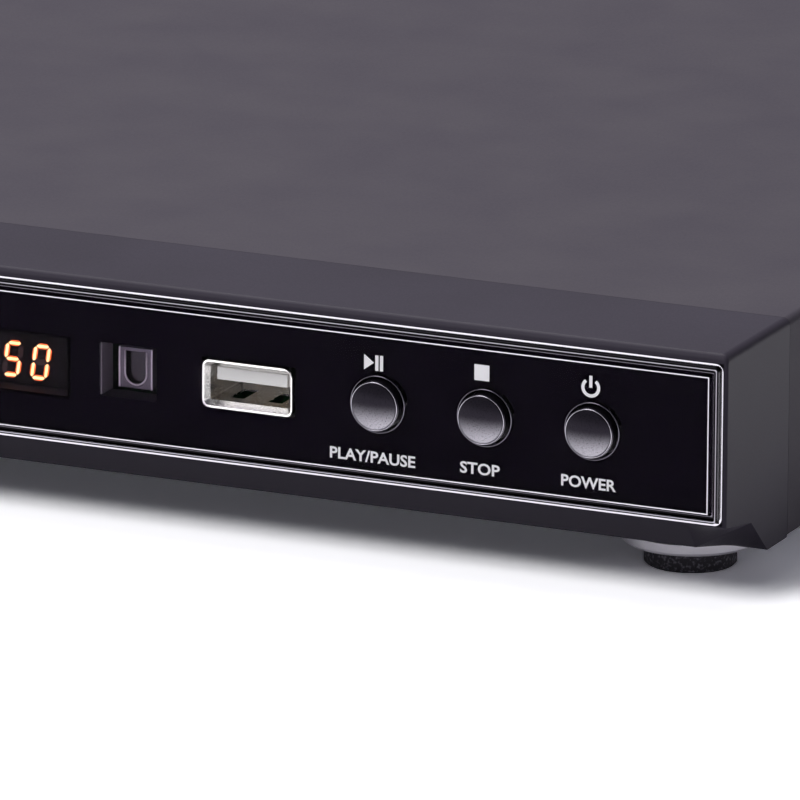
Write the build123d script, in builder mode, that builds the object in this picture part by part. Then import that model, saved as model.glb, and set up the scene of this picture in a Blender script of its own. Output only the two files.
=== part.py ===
from build123d import *
import os
from math import asin, atan2, cos, degrees, pi, radians, sin, sqrt, tan

# Disc player with a motor-driven tray, a gloss front panel, a port and round push buttons.
#
# Frame: millimetres, +Z up, -Y towards the person using it, +X to that person's right.
# The origin is on the table, under the middle of the outer box.
# Depths are measured back from the front panel's face, which lies at Y = front.

# ---------------------------------------------------------------- case sizes
body_width = 310.0  # across the side walls
body_depth = 205.0  # front panel's face to the rear panel's outer face
body_top = 37.6  # top face above the table
cap_proud = 1.8  # how far the button caps stand out of the panel
jack_proud = 8.5  # how far the phono jacks stand out of the rear panel

pad_height = 3.4
pad_radius = 6.75
foot_disc_height = 1.7
foot_disc_radius = 10.0
foot_inset_side = 14.6  # foot axis in from the side wall
foot_inset_front = 23.1
foot_inset_rear = 26.0

chassis_sheet = 0.8
cover_sheet = 0.7
seam = 0.1  # gap where two sheets or mouldings butt

half_width = body_width / 2
front = (cap_proud - body_depth - jack_proud) / 2
rear = front + body_depth
case_bottom = pad_height + foot_disc_height
floor_top = case_bottom + chassis_sheet
cover_under = body_top - cover_sheet

# -------------------------------------------------------------- front moulding
bezel_depth = 24.0  # where the metal cover takes over from the moulding
bezel_wall = 2.0
bezel_face = 1.1  # depth of the frame round the gloss trim
bezel_edge_radius = 1.2
bezel_side_radius = 0.5
lip_top = 12.3  # where the front turns into the slanted lower lip
lip_depth = 4.6  # depth of the lip's lower edge
lip_bottom = 7.9
keel_depth = 16.7  # depth where the underside reaches its lowest level
tongue_length = 5.0  # tongues that locate the cover and the chassis
corner_cut_in = 6.0  # how far the corner facet reaches in from the side wall
corner_cut_depth = 10.6  # depth of the facet's upper rear point
corner_cut_height = 10.7  # height of that point above the table

trim_bottom = 12.5  # gloss trim frame round the panel
trim_top = 36.3
trim_side_gap = 0.55  # side wall to the trim's outer edge
trim_width = 1.5
trim_thickness = 1.6
trim_edge_face = 0.95  # depth of its outer edge
trim_ridge = (0.45, 0.9)  # insets of the ridge's two sides
trim_ridge_face = 0.15
trim_groove_face = 0.75
trim_round = 0.1
trim_corner_radius = 1.2
trim_fit = 0.05

lens_thickness = 1.6
lens_chamfer = 0.25
floor_thickness = 2.0  # moulding's wall behind the lens
box_wall = 1.0  # light boxes behind the display and receiver windows
box_back = 5.5

panel_middle = (trim_bottom + trim_top) / 2
lens_half = half_width - trim_side_gap - trim_width - trim_fit
lens_bottom = trim_bottom + trim_width + trim_fit
lens_top = trim_top - trim_width - trim_fit
floor_back = lens_thickness + floor_thickness

# ------------------------------------------------------------- front controls
button_height = 24.4
button_hole_radius = 4.15
button_cap_radius = 3.7
button_dome = 0.55  # rise of the domed face
button_edge = 0.35
button_flange_radius = 5.0
button_flange = 0.8
button_stem_radius = 1.4
button_guide_wall = 1.0
button_guide_back = 4.4
button_travel = 0.5
button_play = 0.2  # flange to the end of its guide
switch_gap = 0.05  # stem to switch plunger with the button fully pressed

board_front = 10.2  # depth of the control board's component side
board_thickness = 1.6
board_fit = 0.3
switch_body = 6.0
switch_height = 3.5
plunger_radius = 1.6

usb_z = 24.15
usb_cut = (14.7, 7.5)
usb_mouth = (14.3, 7.1)
usb_shell = (13.1, 5.7)
usb_wall = 0.3
usb_mouth_depth = 0.9
usb_flare = 0.9
usb_length = 14.1
usb_tongue = (11.1, 1.84)
usb_tongue_drop = 0.4  # shell's inner top to the tongue
usb_tongue_depth = 2.6
contact_width = 1.0
contact_pitch = 2.4
contact_thickness = 0.15

display_width = 33.0
display_z = (19.4, 28.0)
display_face = 4.0
display_fit = 0.25

receiver_z = 24.1
receiver_size = (5.4, 6.0)
receiver_face = 4.2
receiver_depth = 4.0
receiver_window_width = 9.2
receiver_window_z = (20.2, 28.2)
receiver_hole = (3.4, 5.0)
receiver_sheet = 0.25

# ----------------------------------------------------------------- disc tray
loader_side_gap = 18.0  # side wall to the loader's frame
disc_radius = 60.0
recess_clearance = 0.8
disc_depth = 67.5  # disc axis behind the panel's face
frame_half = 67.0  # half the width of the loader's frame
tray_travel = 130.0
tray_half = 64.0
tray_front = 3.1
tray_rear_reach = 92.5  # disc axis to the tray's rear end
tray_floor = 24.4  # surface that the disc lies on
tray_floor_thickness = 1.8
tray_rim = 26.4
tray_skirt = 19.4
tray_skirt_thickness = 2.0
small_recess_radius = 41.0
small_recess_drop = 0.8
channel_half = 18.5  # slot that the turntable and the lens look through
door_width = 136.0
door_height = 13.6
door_thickness = 3.0
door_gap = 0.35
door_edge = 0.4
tray_rear = disc_depth + tray_rear_reach
disc_y = front + disc_depth
door_bottom = panel_middle - door_height / 2
door_top = panel_middle + door_height / 2

tray_x = -half_width + loader_side_gap + frame_half  # the loader's middle
door_right = tray_x + door_width / 2
# what stands in a row between the door and the side wall: its width, and the gap before it
front_row = {
    "open": (2 * button_hole_radius, 5.35),
    "display": (display_width, 6.85),
    "receiver": (receiver_window_width, 5.1),
    "port": (usb_cut[0], 7.25),
    "play": (2 * button_hole_radius, 9.4),
    "stop": (2 * button_hole_radius, 8.4),
    "power": (2 * button_hole_radius, 8.4),
}
row_end_gap = 16.15  # last button's hole to the side wall
row_gaps = sum(gap for width, gap in front_row.values()) + row_end_gap
row_free = half_width - door_right - sum(width for width, gap in front_row.values())
row_places = {}
row_edge = door_right
for item, (width, gap) in front_row.items():
    row_edge += gap * row_free / row_gaps
    row_places[item] = row_edge + width / 2
    row_edge += width
button_places = {key: row_places[key] for key in ("power", "stop", "play", "open")}
usb_x = row_places["port"]
receiver_x = row_places["receiver"]
display_x = (
    row_places["display"] - display_width / 2,
    row_places["display"] + display_width / 2,
)
receiver_window = (
    receiver_x - receiver_window_width / 2,
    receiver_x + receiver_window_width / 2,
)

# -------------------------------------------------------------------- gears
gear_module = 1.0
pressure_angle = 20.0
backlash = 0.16
pinion_teeth = 16
wheel_teeth = 28
pulley_pinion_teeth = 12
gear_depth = 24.0  # depth of the three axles
rack_side = 57.0  # rack's pitch line from the tray's middle
rack_bottom = tray_skirt
rack_top = tray_floor - tray_floor_thickness
rack_back = 2.2  # rack's bar behind its roots
gear_bore = 1.55
axle_radius = 1.5
shelf_bottom = 9.8
shelf_thickness = 1.4
gear_rise = 0.3  # running gap under a gear
wheel_thickness = 2.4
pulley_radius = 10.0
motor_pulley_radius = 3.0
pulley_bottom = 14.8
pulley_height = 2.6
belt_section = 1.4
belt_gap = 0.02
motor_spacing = 36.0  # pulley axle to motor axle
motor_radius = 12.0
motor_bottom = 8.6
motor_top = 14.2
motor_shaft_radius = 1.0

shelf_top = shelf_bottom + shelf_thickness
wheel_bottom = shelf_top + gear_rise
gear_y = front + gear_depth
rack_x = tray_x + rack_side
drive_x = rack_x - gear_module * pinion_teeth / 2
pulley_x = drive_x - gear_module * (wheel_teeth + pulley_pinion_teeth) / 2
motor_x = pulley_x - motor_spacing

# ------------------------------------------------------------- loader frame
frame_wall = 2.4
frame_front = 8.0
frame_rear_gap = 12.0  # tray's rear end to the frame's
frame_bottom = 7.2
frame_top = 29.6
ledge_width = 3.2
ledge_thickness = 1.6
slide_gap = 0.2
window_length = 34.0  # light cut-outs in the side walls
tab_length = 9.0
tab_depths = (12.0, 60.0, 105.0)
post_radius = 3.5
frame_rear = tray_rear + frame_rear_gap

# ------------------------------------------------- lifting deck, disc drive
deck_half = 44.0  # plastic ring that tilts
deck_reach = (13.5, 78.5)  # disc axis to the ring's front and rear ends
deck_front = disc_depth - deck_reach[0]
deck_rear = disc_depth + deck_reach[1]
deck_bottom = 13.2
deck_top = 17.0
deck_ring = 6.0
pivot_gap = 6.0  # ring's rear end to the pivot line
pivot_depth = deck_rear + pivot_gap
pivot_height = 15.6
pivot_radius = 2.5
pivot_clearance = 0.08
pivot_length = 6.0
pivot_ear = 9.0
lift_angle = 3.0
follower_radius = 1.5
follower_side = 26.0
follower_height = 16.6
cam_thickness = 2.4
cam_gap = 3.0  # cam slider to the deck ring
cam_depth = deck_front - cam_gap - cam_thickness
cam_half = 38.0
cam_margin = 2.65  # cam slider's lower edge to the lowered follower's axis
cam_top = 19.0
cam_travel = 12.0
cam_clearance = 0.35
guide_beam = 4.3  # beam in front of the cam slider
beam_overlap = 0.05  # the gear shelf runs into the beam
shelf_rear = cam_depth - cam_clearance - guide_beam + beam_overlap
guide_lip = 0.9  # low lip behind it, under the lowered follower pins

follower_reach = pivot_depth - cam_depth - cam_thickness / 2
follower_drop = follower_reach * sin(radians(lift_angle))
cam_bottom = round(follower_height - follower_drop - cam_margin, 1)

plate_half = 36.0
plate_inset = 3.0  # steel plate's ends inside the ring's
plate_front = deck_front + plate_inset
plate_rear = deck_rear - plate_inset
plate_bottom = 18.4
plate_thickness = 1.0
damper_inset = 5.0
damper_radius = 4.0
damper_neck = 2.5
damper_fit = 0.1  # play of the neck in the plate
damper_top = 21.0
damper_land = 9.0  # width of the land under a damper
damper_land_thickness = 2.4
damper_land_offset = 3.5
seat_height = 25.8  # turntable's disc seat, deck raised
turntable_radius = 14.0
turntable_thickness = 1.6
hub_radius = 7.3
hub_rise = 2.4
spindle_radius = 10.0
spindle_motor_bottom = 12.4
spindle_shaft_radius = 1.0
rotor_bottom = 19.8
rotor_top = 22.4

rail_side = 24.0
rail_radius = 1.5
rail_height = 14.6
rail_front_reach = 11.5  # disc axis to the rods' front ends
rail_depths = (disc_depth + rail_front_reach, plate_rear - 1.0)
rail_holder = 3.0
read_start = 23.5  # lens to the disc's axis at the inner end
pickup_length = (9.0, 15.0)  # body in front of and behind the lens
pickup_half = 18.0
pickup_bottom = 12.4
pickup_top = 19.8
pickup_travel = 34.0
lens_ring_radius = 5.5
lens_ring_top = 22.6
objective_radius = 2.2
objective_top = 24.0
rail_clearance = 0.06
screw_side = 31.0
screw_radius = 1.5
sled_motor_radius = 3.8
sled_motor_length = 12.0
sled_motor_depths = (rail_depths[0] - sled_motor_length, rail_depths[0])

bridge_bottom = frame_top
bridge_thickness = 1.2
bridge_half_depth = 13.0
bridge_hole_radius = 11.0
clamper_bottom = 27.3
clamper_radius = 15.5
clamper_plate = 1.4
clamper_neck_radius = 9.8
clamper_float = 0.3
clamper_cap_radius = 13.5
clamper_cap = 1.2
clamper_recess_radius = 8.2
clamper_recess = 1.7

# ---------------------------------------------------------- boards and jacks
board_side_gap = 8.0  # side wall to the power board
board_gap = 2.0  # between the two boards
board_loader_gap = 5.0
board_rear_gap = 6.0  # boards to the rear panel's outer face
power_board_width = 47.0
power_board_length = 139.0
main_board_length = 87.0
main_board_height = 11.5
power_board_x = (half_width - board_side_gap - power_board_width, half_width - board_side_gap)
power_board_depth = (body_depth - board_rear_gap - power_board_length, body_depth - board_rear_gap)
main_board_x = (tray_x + frame_half + board_loader_gap, power_board_x[0] - board_gap)
main_board_depth = (body_depth - board_rear_gap - main_board_length, body_depth - board_rear_gap)
standoff_radius = 3.0
standoff_inset = 5.0

jack_block_width = 28.0
jack_block_gap = 12.0  # board's edge to the jack block
jack_block_x = (
    main_board_x[0] + jack_block_gap,
    main_board_x[0] + jack_block_gap + jack_block_width,
)
jack_block_z = (13.2, 35.0)
jack_block_length = 13.0
jack_radius = 4.15
jack_bore = 1.6
jack_chamber_length = 8.0
jack_pitch_x = 14.0
jack_pitch_z = 11.0
hdmi_gap = 18.0  # jack block to the socket's middle
hdmi_x = jack_block_x[1] + hdmi_gap
hdmi_size = (15.0, 5.6)
hdmi_wall = 0.4
hdmi_length = 11.0
inlet_side_gap = 33.0  # side wall to the inlet's middle
inlet_x = half_width - inlet_side_gap
inlet_z = 21.0
inlet_size = (24.0, 15.0)
inlet_lobe_radius = 4.2
inlet_lobe_pitch = 8.2
inlet_recess = 11.0
inlet_pin_radius = 1.2
panel_fit = 0.2

vent_count = 14
vent_pitch = 7.0
vent_rear_gap = 24.0  # last slot to the rear panel
floor_vent_gap = 30.0  # power board's front edge to the first floor slot
vent_size = (2.2, 9.0)
floor_vents = 9
rear_screw_inset = 15.0
rear_screw_spacing = 7.0  # middle screw to the line of the door's edge
rear_screw_drop = 5.6  # below the top face
screw_head_radius = 3.0
screw_head = 1.8
screw_length = 4.0
screw_shank_radius = 1.4

os.makedirs("parts", exist_ok=True)


# ------------------------------------------------------------------- helpers
def block(x, y, z, mode=Mode.ADD):
    """A block between (low, high) pairs on X, Y and Z."""
    sizes = [high - low for low, high in (x, y, z)]
    middle = [(low + high) / 2 for low, high in (x, y, z)]
    with Locations(Location(middle)):
        Box(*sizes, mode=mode)


def post(x, y, z, radius, mode=Mode.ADD):
    """An upright cylinder between the heights in z."""
    with Locations(Location((x, y, (z[0] + z[1]) / 2))):
        Cylinder(radius, z[1] - z[0], mode=mode)


def rod_y(x, y, z, radius, mode=Mode.ADD):
    """A cylinder along Y between the (low, high) pair y."""
    with Locations(Location((x, (y[0] + y[1]) / 2, z), (90, 0, 0))):
        Cylinder(radius, y[1] - y[0], mode=mode)


def rod_x(x, y, z, radius, mode=Mode.ADD):
    """A cylinder along X between the (low, high) pair x."""
    with Locations(Location(((x[0] + x[1]) / 2, y, z), (0, 90, 0))):
        Cylinder(radius, x[1] - x[0], mode=mode)


def about(middle, size):
    """The (low, high) pair of a size centred on a place."""
    return (middle - size / 2, middle + size / 2)


def depth(near, far):
    """The Y pair of a stretch between two depths behind the panel's face."""
    return (front + near, front + far)


def keep(builder, name):
    """Labels a finished piece and writes it."""
    builder.part.label = name
    export_step(builder.part, f"parts/{name}.step")


def involute_angle(radius, base):
    """How far an involute has turned from its base circle, at a radius."""
    spread = sqrt(max((radius / base) ** 2 - 1, 0))
    return spread - atan2(spread, 1)


def gear_outline(teeth, turn=0.0):
    """Corner points of an involute spur gear, with a tooth at the angle turn in degrees."""
    pitch_radius = gear_module * teeth / 2
    base = pitch_radius * cos(radians(pressure_angle))
    tip = pitch_radius + gear_module
    root = pitch_radius - 1.2 * gear_module
    half_tooth = (pi * gear_module / 2 - backlash) / 2 / pitch_radius
    flank = [max(base, root), pitch_radius, (pitch_radius + tip) / 2, tip]
    offsets = [
        half_tooth + involute_angle(pitch_radius, base) - involute_angle(r, base)
        for r in flank
    ]
    points = []
    for tooth in range(teeth):
        middle = radians(turn) + 2 * pi * tooth / teeth
        side = [(root, offsets[0])] + list(zip(flank, offsets))
        for radius, offset in side:
            points.append((radius, middle - offset))
        for radius, offset in reversed(side):
            points.append((radius, middle + offset))
    return [(r * cos(a), r * sin(a)) for r, a in points]


def gear(x, y, z, teeth, turn=0.0):
    """A spur gear blank with its teeth, between the heights in z."""
    with BuildSketch(Plane((x, y, z[0]))) as outline:
        with BuildLine():
            Polyline(*gear_outline(teeth, turn), close=True)
        make_face()
    extrude(outline.sketch, amount=z[1] - z[0])


# ------------------------------------------------------------ front moulding
with BuildPart() as bezel:
    outer = [
        (front + bezel_depth, body_top),
        (front + bezel_face, body_top),
        (front + bezel_face, lip_top),
        (front + lip_depth, lip_bottom),
        (front + keel_depth, case_bottom),
        (front + bezel_depth, case_bottom),
    ]
    with BuildSketch(Plane.YZ) as side_view:
        with BuildLine():
            Polyline(*outer, close=True)
        make_face()
    extrude(amount=half_width, both=True)
    face_edges = bezel.edges().filter_by_position(
        Axis.Y, front + bezel_face - 0.01, front + bezel_face + 0.01
    )
    fillet(face_edges.filter_by(Axis.Z), bezel_side_radius)
    top_edges = bezel.faces().sort_by(Axis.Z)[-1].edges()
    behind = top_edges.sort_by(Axis.Y)[-1]
    fillet([edge for edge in top_edges if edge != behind], bezel_edge_radius)
    # the facets that lift the underside at both front corners
    for side in (-1, 1):
        cut_side = [
            (front - 1, lip_top),
            (front + bezel_face, lip_top),
            (front + corner_cut_depth, corner_cut_height),
            (front + keel_depth, case_bottom),
            (front + keel_depth, case_bottom - 3),
            (front - 1, case_bottom - 3),
        ]
        cut_inside = [
            (front - 1, lip_top),
            (front + bezel_face, lip_top),
            (front + lip_depth, lip_bottom),
            (front + keel_depth, case_bottom),
            (front + keel_depth, case_bottom - 3),
            (front - 1, case_bottom - 3),
        ]
        with BuildSketch(Plane.YZ.offset(side * (half_width - corner_cut_in))):
            with BuildLine():
                Polyline(*cut_inside, close=True)
            make_face()
        with BuildSketch(Plane.YZ.offset(side * half_width)):
            with BuildLine():
                Polyline(*cut_side, close=True)
            make_face()
        loft(ruled=True, mode=Mode.SUBTRACT)
    # hollow behind the panel, narrower low down so the corner facets stay closed
    inner = [
        (front + bezel_depth + 1, body_top - bezel_wall),
        (front + floor_back, body_top - bezel_wall),
        (front + floor_back, lip_top + 0.6),
        (front + lip_depth + bezel_wall, lip_bottom + bezel_wall),
        (front + keel_depth, case_bottom + bezel_wall),
        (front + bezel_depth + 1, case_bottom + bezel_wall),
    ]
    with BuildSketch(Plane.YZ) as hollow_view:
        with BuildLine():
            Polyline(*inner, close=True)
        make_face()
    extrude(amount=half_width - corner_cut_in - bezel_wall, both=True, mode=Mode.SUBTRACT)
    upper = about(0, body_width - 2 * bezel_wall)
    block(
        upper,
        depth(floor_back, bezel_depth + 1),
        (lip_top + 2.0, body_top - bezel_wall),
        Mode.SUBTRACT,
    )
    # seat for the trim frame and the lens
    trim_half = half_width - trim_side_gap
    block(
        (-trim_half - trim_fit, trim_half + trim_fit),
        depth(-1, lens_thickness),
        (trim_bottom - trim_fit, trim_top + trim_fit),
        Mode.SUBTRACT,
    )
    # light boxes and button guides stand on the back of the floor
    for window_x, window_z in (
        (display_x, display_z),
        (receiver_window, receiver_window_z),
    ):
        block(
            (window_x[0] - box_wall, window_x[1] + box_wall),
            depth(floor_back, box_back),
            (window_z[0] - box_wall, window_z[1] + box_wall),
        )
    for place in button_places.values():
        rod_y(
            place,
            depth(lens_thickness + 0.5, button_guide_back),
            button_height,
            button_hole_radius + button_guide_wall,
        )
    for window_x, window_z in (
        (display_x, display_z),
        (receiver_window, receiver_window_z),
    ):
        block(window_x, depth(0, box_back + 1), window_z, Mode.SUBTRACT)
    for place in button_places.values():
        rod_y(place, depth(0, 9), button_height, button_hole_radius, Mode.SUBTRACT)
    block(
        about(usb_x, usb_cut[0]), depth(0, floor_back + 1), about(usb_z, usb_cut[1]), Mode.SUBTRACT
    )
    # slot for the tray and its door
    block(
        about(tray_x, door_width + 2 * door_gap),
        depth(0, floor_back + 1),
        (door_bottom - door_gap, door_top + door_gap),
        Mode.SUBTRACT,
    )
    # tongues that slide under the cover and over the chassis floor
    tongue_half = half_width - cover_sheet - seam
    tongue_depth = depth(bezel_depth - 1, bezel_depth + tongue_length)
    block(
        (-tongue_half + bezel_wall, tongue_half - bezel_wall),
        tongue_depth,
        (body_top - bezel_wall, cover_under - seam),
    )
    block(
        (-tongue_half + bezel_wall, tongue_half - bezel_wall),
        tongue_depth,
        (floor_top + seam, case_bottom + bezel_wall),
    )
    # posts that carry the control board
    for post_x in (door_right + 2.5 + standoff_inset, usb_x - 18, half_width - 12):
        rod_y(post_x, depth(floor_back, board_front), lens_top - 1.2, 2.0)
keep(bezel, "front_bezel")

# ----------------------------------------------------- gloss trim frame, lens
def trim_loop(inset, near, far, mode=Mode.ADD):
    """A filled rounded rectangle, inset from the trim's outer edge, between two depths."""
    half = half_width - trim_side_gap - inset
    radius = max(trim_corner_radius - inset, 0.15)
    plane = Plane((0, front + far, panel_middle), x_dir=(1, 0, 0), z_dir=(0, -1, 0))
    with BuildSketch(plane) as outline:
        RectangleRounded(2 * half, trim_top - trim_bottom - 2 * inset, radius)
    extrude(outline.sketch, amount=far - near, mode=mode)


with BuildPart() as trim:
    trim_loop(0, trim_edge_face, trim_thickness)
    trim_loop(trim_ridge[0], trim_ridge_face, trim_thickness)
    trim_loop(trim_ridge[1], trim_ridge_face - 1, trim_groove_face, Mode.SUBTRACT)
    trim_loop(trim_width, trim_ridge_face - 1, trim_thickness + 1, Mode.SUBTRACT)
    crest_y = front + trim_ridge_face
    chamfer(trim.edges().filter_by_position(Axis.Y, crest_y - 0.01, crest_y + 0.01), trim_round)
keep(trim, "trim_frame")

with BuildPart() as lens:
    block(
        (-lens_half, lens_half), depth(0, lens_thickness), (lens_bottom, lens_top)
    )
    block(
        about(tray_x, door_width + 2 * door_gap),
        depth(-1, lens_thickness + 1),
        (door_bottom - door_gap, door_top + door_gap),
        Mode.SUBTRACT,
    )
    usb_plane = Plane((usb_x, front + lens_thickness + 1, usb_z), x_dir=(1, 0, 0), z_dir=(0, -1, 0))
    with BuildSketch(usb_plane) as usb_hole:
        RectangleRounded(usb_cut[0], usb_cut[1], 1.6)
    extrude(amount=lens_thickness + 2, mode=Mode.SUBTRACT)
    for place in button_places.values():
        rod_y(place, depth(-1, lens_thickness + 1), button_height, button_hole_radius, Mode.SUBTRACT)
    lens_face = lens.faces().sort_by(Axis.Y)[0]
    chamfer(lens_face.edges(), lens_chamfer)
keep(lens, "front_lens")

# ------------------------------------------------------------------- buttons
stem_end = (
    board_front - switch_height - 0.6 - button_travel - switch_gap
)  # depth of the stem's tip
flange_front = button_guide_back + button_play
dome_half = button_cap_radius - button_edge
dome_sphere = (dome_half**2 + button_dome**2) / (2 * button_dome)
dome_angle = asin(dome_half / dome_sphere) / 2
dome_middle = (
    dome_sphere * sin(dome_angle),
    -cap_proud + dome_sphere * (1 - cos(dome_angle)),
)

for button, place in button_places.items():
    with BuildPart() as cap:
        half_section = [
            (0, stem_end),
            (button_stem_radius, stem_end),
            (button_stem_radius, flange_front + button_flange),
            (button_flange_radius, flange_front + button_flange),
            (button_flange_radius, flange_front),
            (button_cap_radius, flange_front),
            (button_cap_radius, -cap_proud + button_dome + button_edge),
            (button_cap_radius - button_edge, -cap_proud + button_dome),
        ]
        section_plane = Plane(
            (place, front, button_height), x_dir=(1, 0, 0), z_dir=(0, 0, 1)
        )
        with BuildSketch(section_plane) as section:
            with BuildLine():
                Polyline(*half_section)
                ThreePointArc(half_section[-1], dome_middle, (0, -cap_proud))
                Line((0, -cap_proud), (0, stem_end))
            make_face()
        revolve(axis=Axis((place, front, button_height), (0, 1, 0)))
    keep(cap, f"{button}_button")

# ------------------------------------------------------------- control board
board_x = (door_right + 2.5, half_width - 9)
board_z = (floor_top + 5.0, lens_top)
with BuildPart() as control_board:
    block(board_x, depth(board_front, board_front + board_thickness), board_z)
    block(
        about(usb_x, usb_shell[0] + 2 * board_fit),
        depth(board_front - 1, board_front + board_thickness + 1),
        about(usb_z, usb_shell[1] + 2 * board_fit),
        Mode.SUBTRACT,
    )
keep(control_board, "control_board")

with BuildPart() as switches:
    for place in button_places.values():
        body_depths = depth(board_front - switch_height, board_front)
        block(about(place, switch_body), body_depths, about(button_height, switch_body))
        tip = board_front - switch_height - 0.6
        rod_y(place, depth(tip, board_front - switch_height), button_height, plunger_radius)
keep(switches, "button_switches")

with BuildPart() as display:
    block(
        (display_x[0] + display_fit, display_x[1] - display_fit),
        depth(display_face, board_front),
        (display_z[0] + display_fit, display_z[1] - display_fit),
    )
keep(display, "display_module")

with BuildPart() as shield:
    receiver_back = receiver_face + receiver_depth
    block(
        about(receiver_x, receiver_size[0]),
        depth(receiver_face, receiver_back),
        about(receiver_z, receiver_size[1]),
    )
    block(
        about(receiver_x, receiver_size[0] - 2 * receiver_sheet),
        depth(receiver_face + receiver_sheet, receiver_back + 1),
        about(receiver_z, receiver_size[1] - 2 * receiver_sheet),
        Mode.SUBTRACT,
    )
    hole_round = receiver_hole[0] / 2
    hole_top = receiver_z + receiver_hole[1] / 2
    hole_middle = receiver_z - receiver_hole[1] / 2 + hole_round
    block(
        about(receiver_x, receiver_hole[0]),
        depth(receiver_face - 1, receiver_face + 1),
        (hole_middle, hole_top),
        Mode.SUBTRACT,
    )
    rod_y(
        receiver_x, depth(receiver_face - 1, receiver_face + 1), hole_middle, hole_round,
        Mode.SUBTRACT,
    )
keep(shield, "receiver_shield")

with BuildPart() as sensor:
    sensor_gap = receiver_sheet + 0.05
    block(
        about(receiver_x, receiver_size[0] - 2 * sensor_gap),
        depth(receiver_face + 0.9, board_front),
        about(receiver_z, receiver_size[1] - 2 * sensor_gap),
    )
keep(sensor, "receiver_sensor")

# ---------------------------------------------------------------- front port
def rounded_tube(x, z, outer, wall, near, far, radius):
    """A rectangular tube along Y with rounded corners."""
    plane = Plane((x, front + far, z), x_dir=(1, 0, 0), z_dir=(0, -1, 0))
    with BuildSketch(plane) as outline:
        RectangleRounded(outer[0], outer[1], radius)
        RectangleRounded(
            outer[0] - 2 * wall, outer[1] - 2 * wall, max(radius - wall, 0.2), mode=Mode.SUBTRACT
        )
    extrude(outline.sketch, amount=far - near)


with BuildPart() as port_shell:
    usb_back = usb_mouth_depth + usb_length
    rounded_tube(usb_x, usb_z, usb_shell, usb_wall, usb_mouth_depth + usb_flare, usb_back, 0.6)
    mouth_plane = Plane(
        (usb_x, front + usb_mouth_depth, usb_z), x_dir=(1, 0, 0), z_dir=(0, -1, 0)
    )
    throat_plane = mouth_plane.offset(-usb_flare)
    with BuildSketch(mouth_plane):
        RectangleRounded(*usb_mouth, 1.1)
    with BuildSketch(throat_plane):
        RectangleRounded(*usb_shell, 0.6)
    loft(ruled=True)
    with BuildSketch(mouth_plane):
        RectangleRounded(usb_mouth[0] - 2 * usb_wall, usb_mouth[1] - 2 * usb_wall, 0.8)
    with BuildSketch(throat_plane):
        RectangleRounded(usb_shell[0] - 2 * usb_wall, usb_shell[1] - 2 * usb_wall, 0.3)
    loft(ruled=True, mode=Mode.SUBTRACT)
    # spring windows in the shell's floor and roof
    for side in (-1, 1):
        block(
            about(usb_x + side * 3.0, 2.2),
            depth(usb_mouth_depth + 3.0, usb_mouth_depth + 8.0),
            about(usb_z, usb_shell[1] + 2),
            Mode.SUBTRACT,
        )
keep(port_shell, "port_shell")

with BuildPart() as port_tongue:
    shell_in = (usb_shell[0] / 2 - usb_wall, usb_shell[1] / 2 - usb_wall)
    tongue_top = usb_z + shell_in[1] - usb_tongue_drop
    tongue_bottom = tongue_top - usb_tongue[1]
    block(
        about(usb_x, usb_tongue[0]),
        depth(usb_tongue_depth, usb_back - 2.0),
        (tongue_bottom, tongue_top),
    )
    block(
        about(usb_x, 2 * shell_in[0] - 0.3),
        depth(usb_back - 2.5, usb_back),
        about(usb_z, 2 * shell_in[1] - 0.3),
    )
keep(port_tongue, "port_tongue")

with BuildPart() as contacts:
    for step in range(4):
        block(
            about(usb_x + (step - 1.5) * contact_pitch, contact_width),
            depth(usb_tongue_depth + 0.7, usb_back - 2.5),
            (tongue_bottom - contact_thickness, tongue_bottom),
        )
keep(contacts, "port_contacts")

# ----------------------------------------------------------- chassis and rear
def floor_posts(x_pair, depth_pair):
    """The four corner places of a board, in from its edges."""
    return [
        (x, front + d)
        for x in (x_pair[0] + standoff_inset, x_pair[1] - standoff_inset)
        for d in (depth_pair[0] + standoff_inset, depth_pair[1] - standoff_inset)
    ]


board_posts = floor_posts(main_board_x, main_board_depth) + floor_posts(
    power_board_x, power_board_depth
)
loader_feet = [
    (tray_x + side * (frame_half - post_radius - 2), front + d)
    for side in (-1, 1)
    for d in (shelf_rear + 4, frame_rear - 8)
]
rear_screw_x = (
    rear_screw_inset - half_width,
    door_right + rear_screw_spacing,
    half_width - rear_screw_inset,
)
rear_screws = [(x, body_top - rear_screw_drop) for x in rear_screw_x]
tab_width = 12.0
flange_top = 18.0

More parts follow.
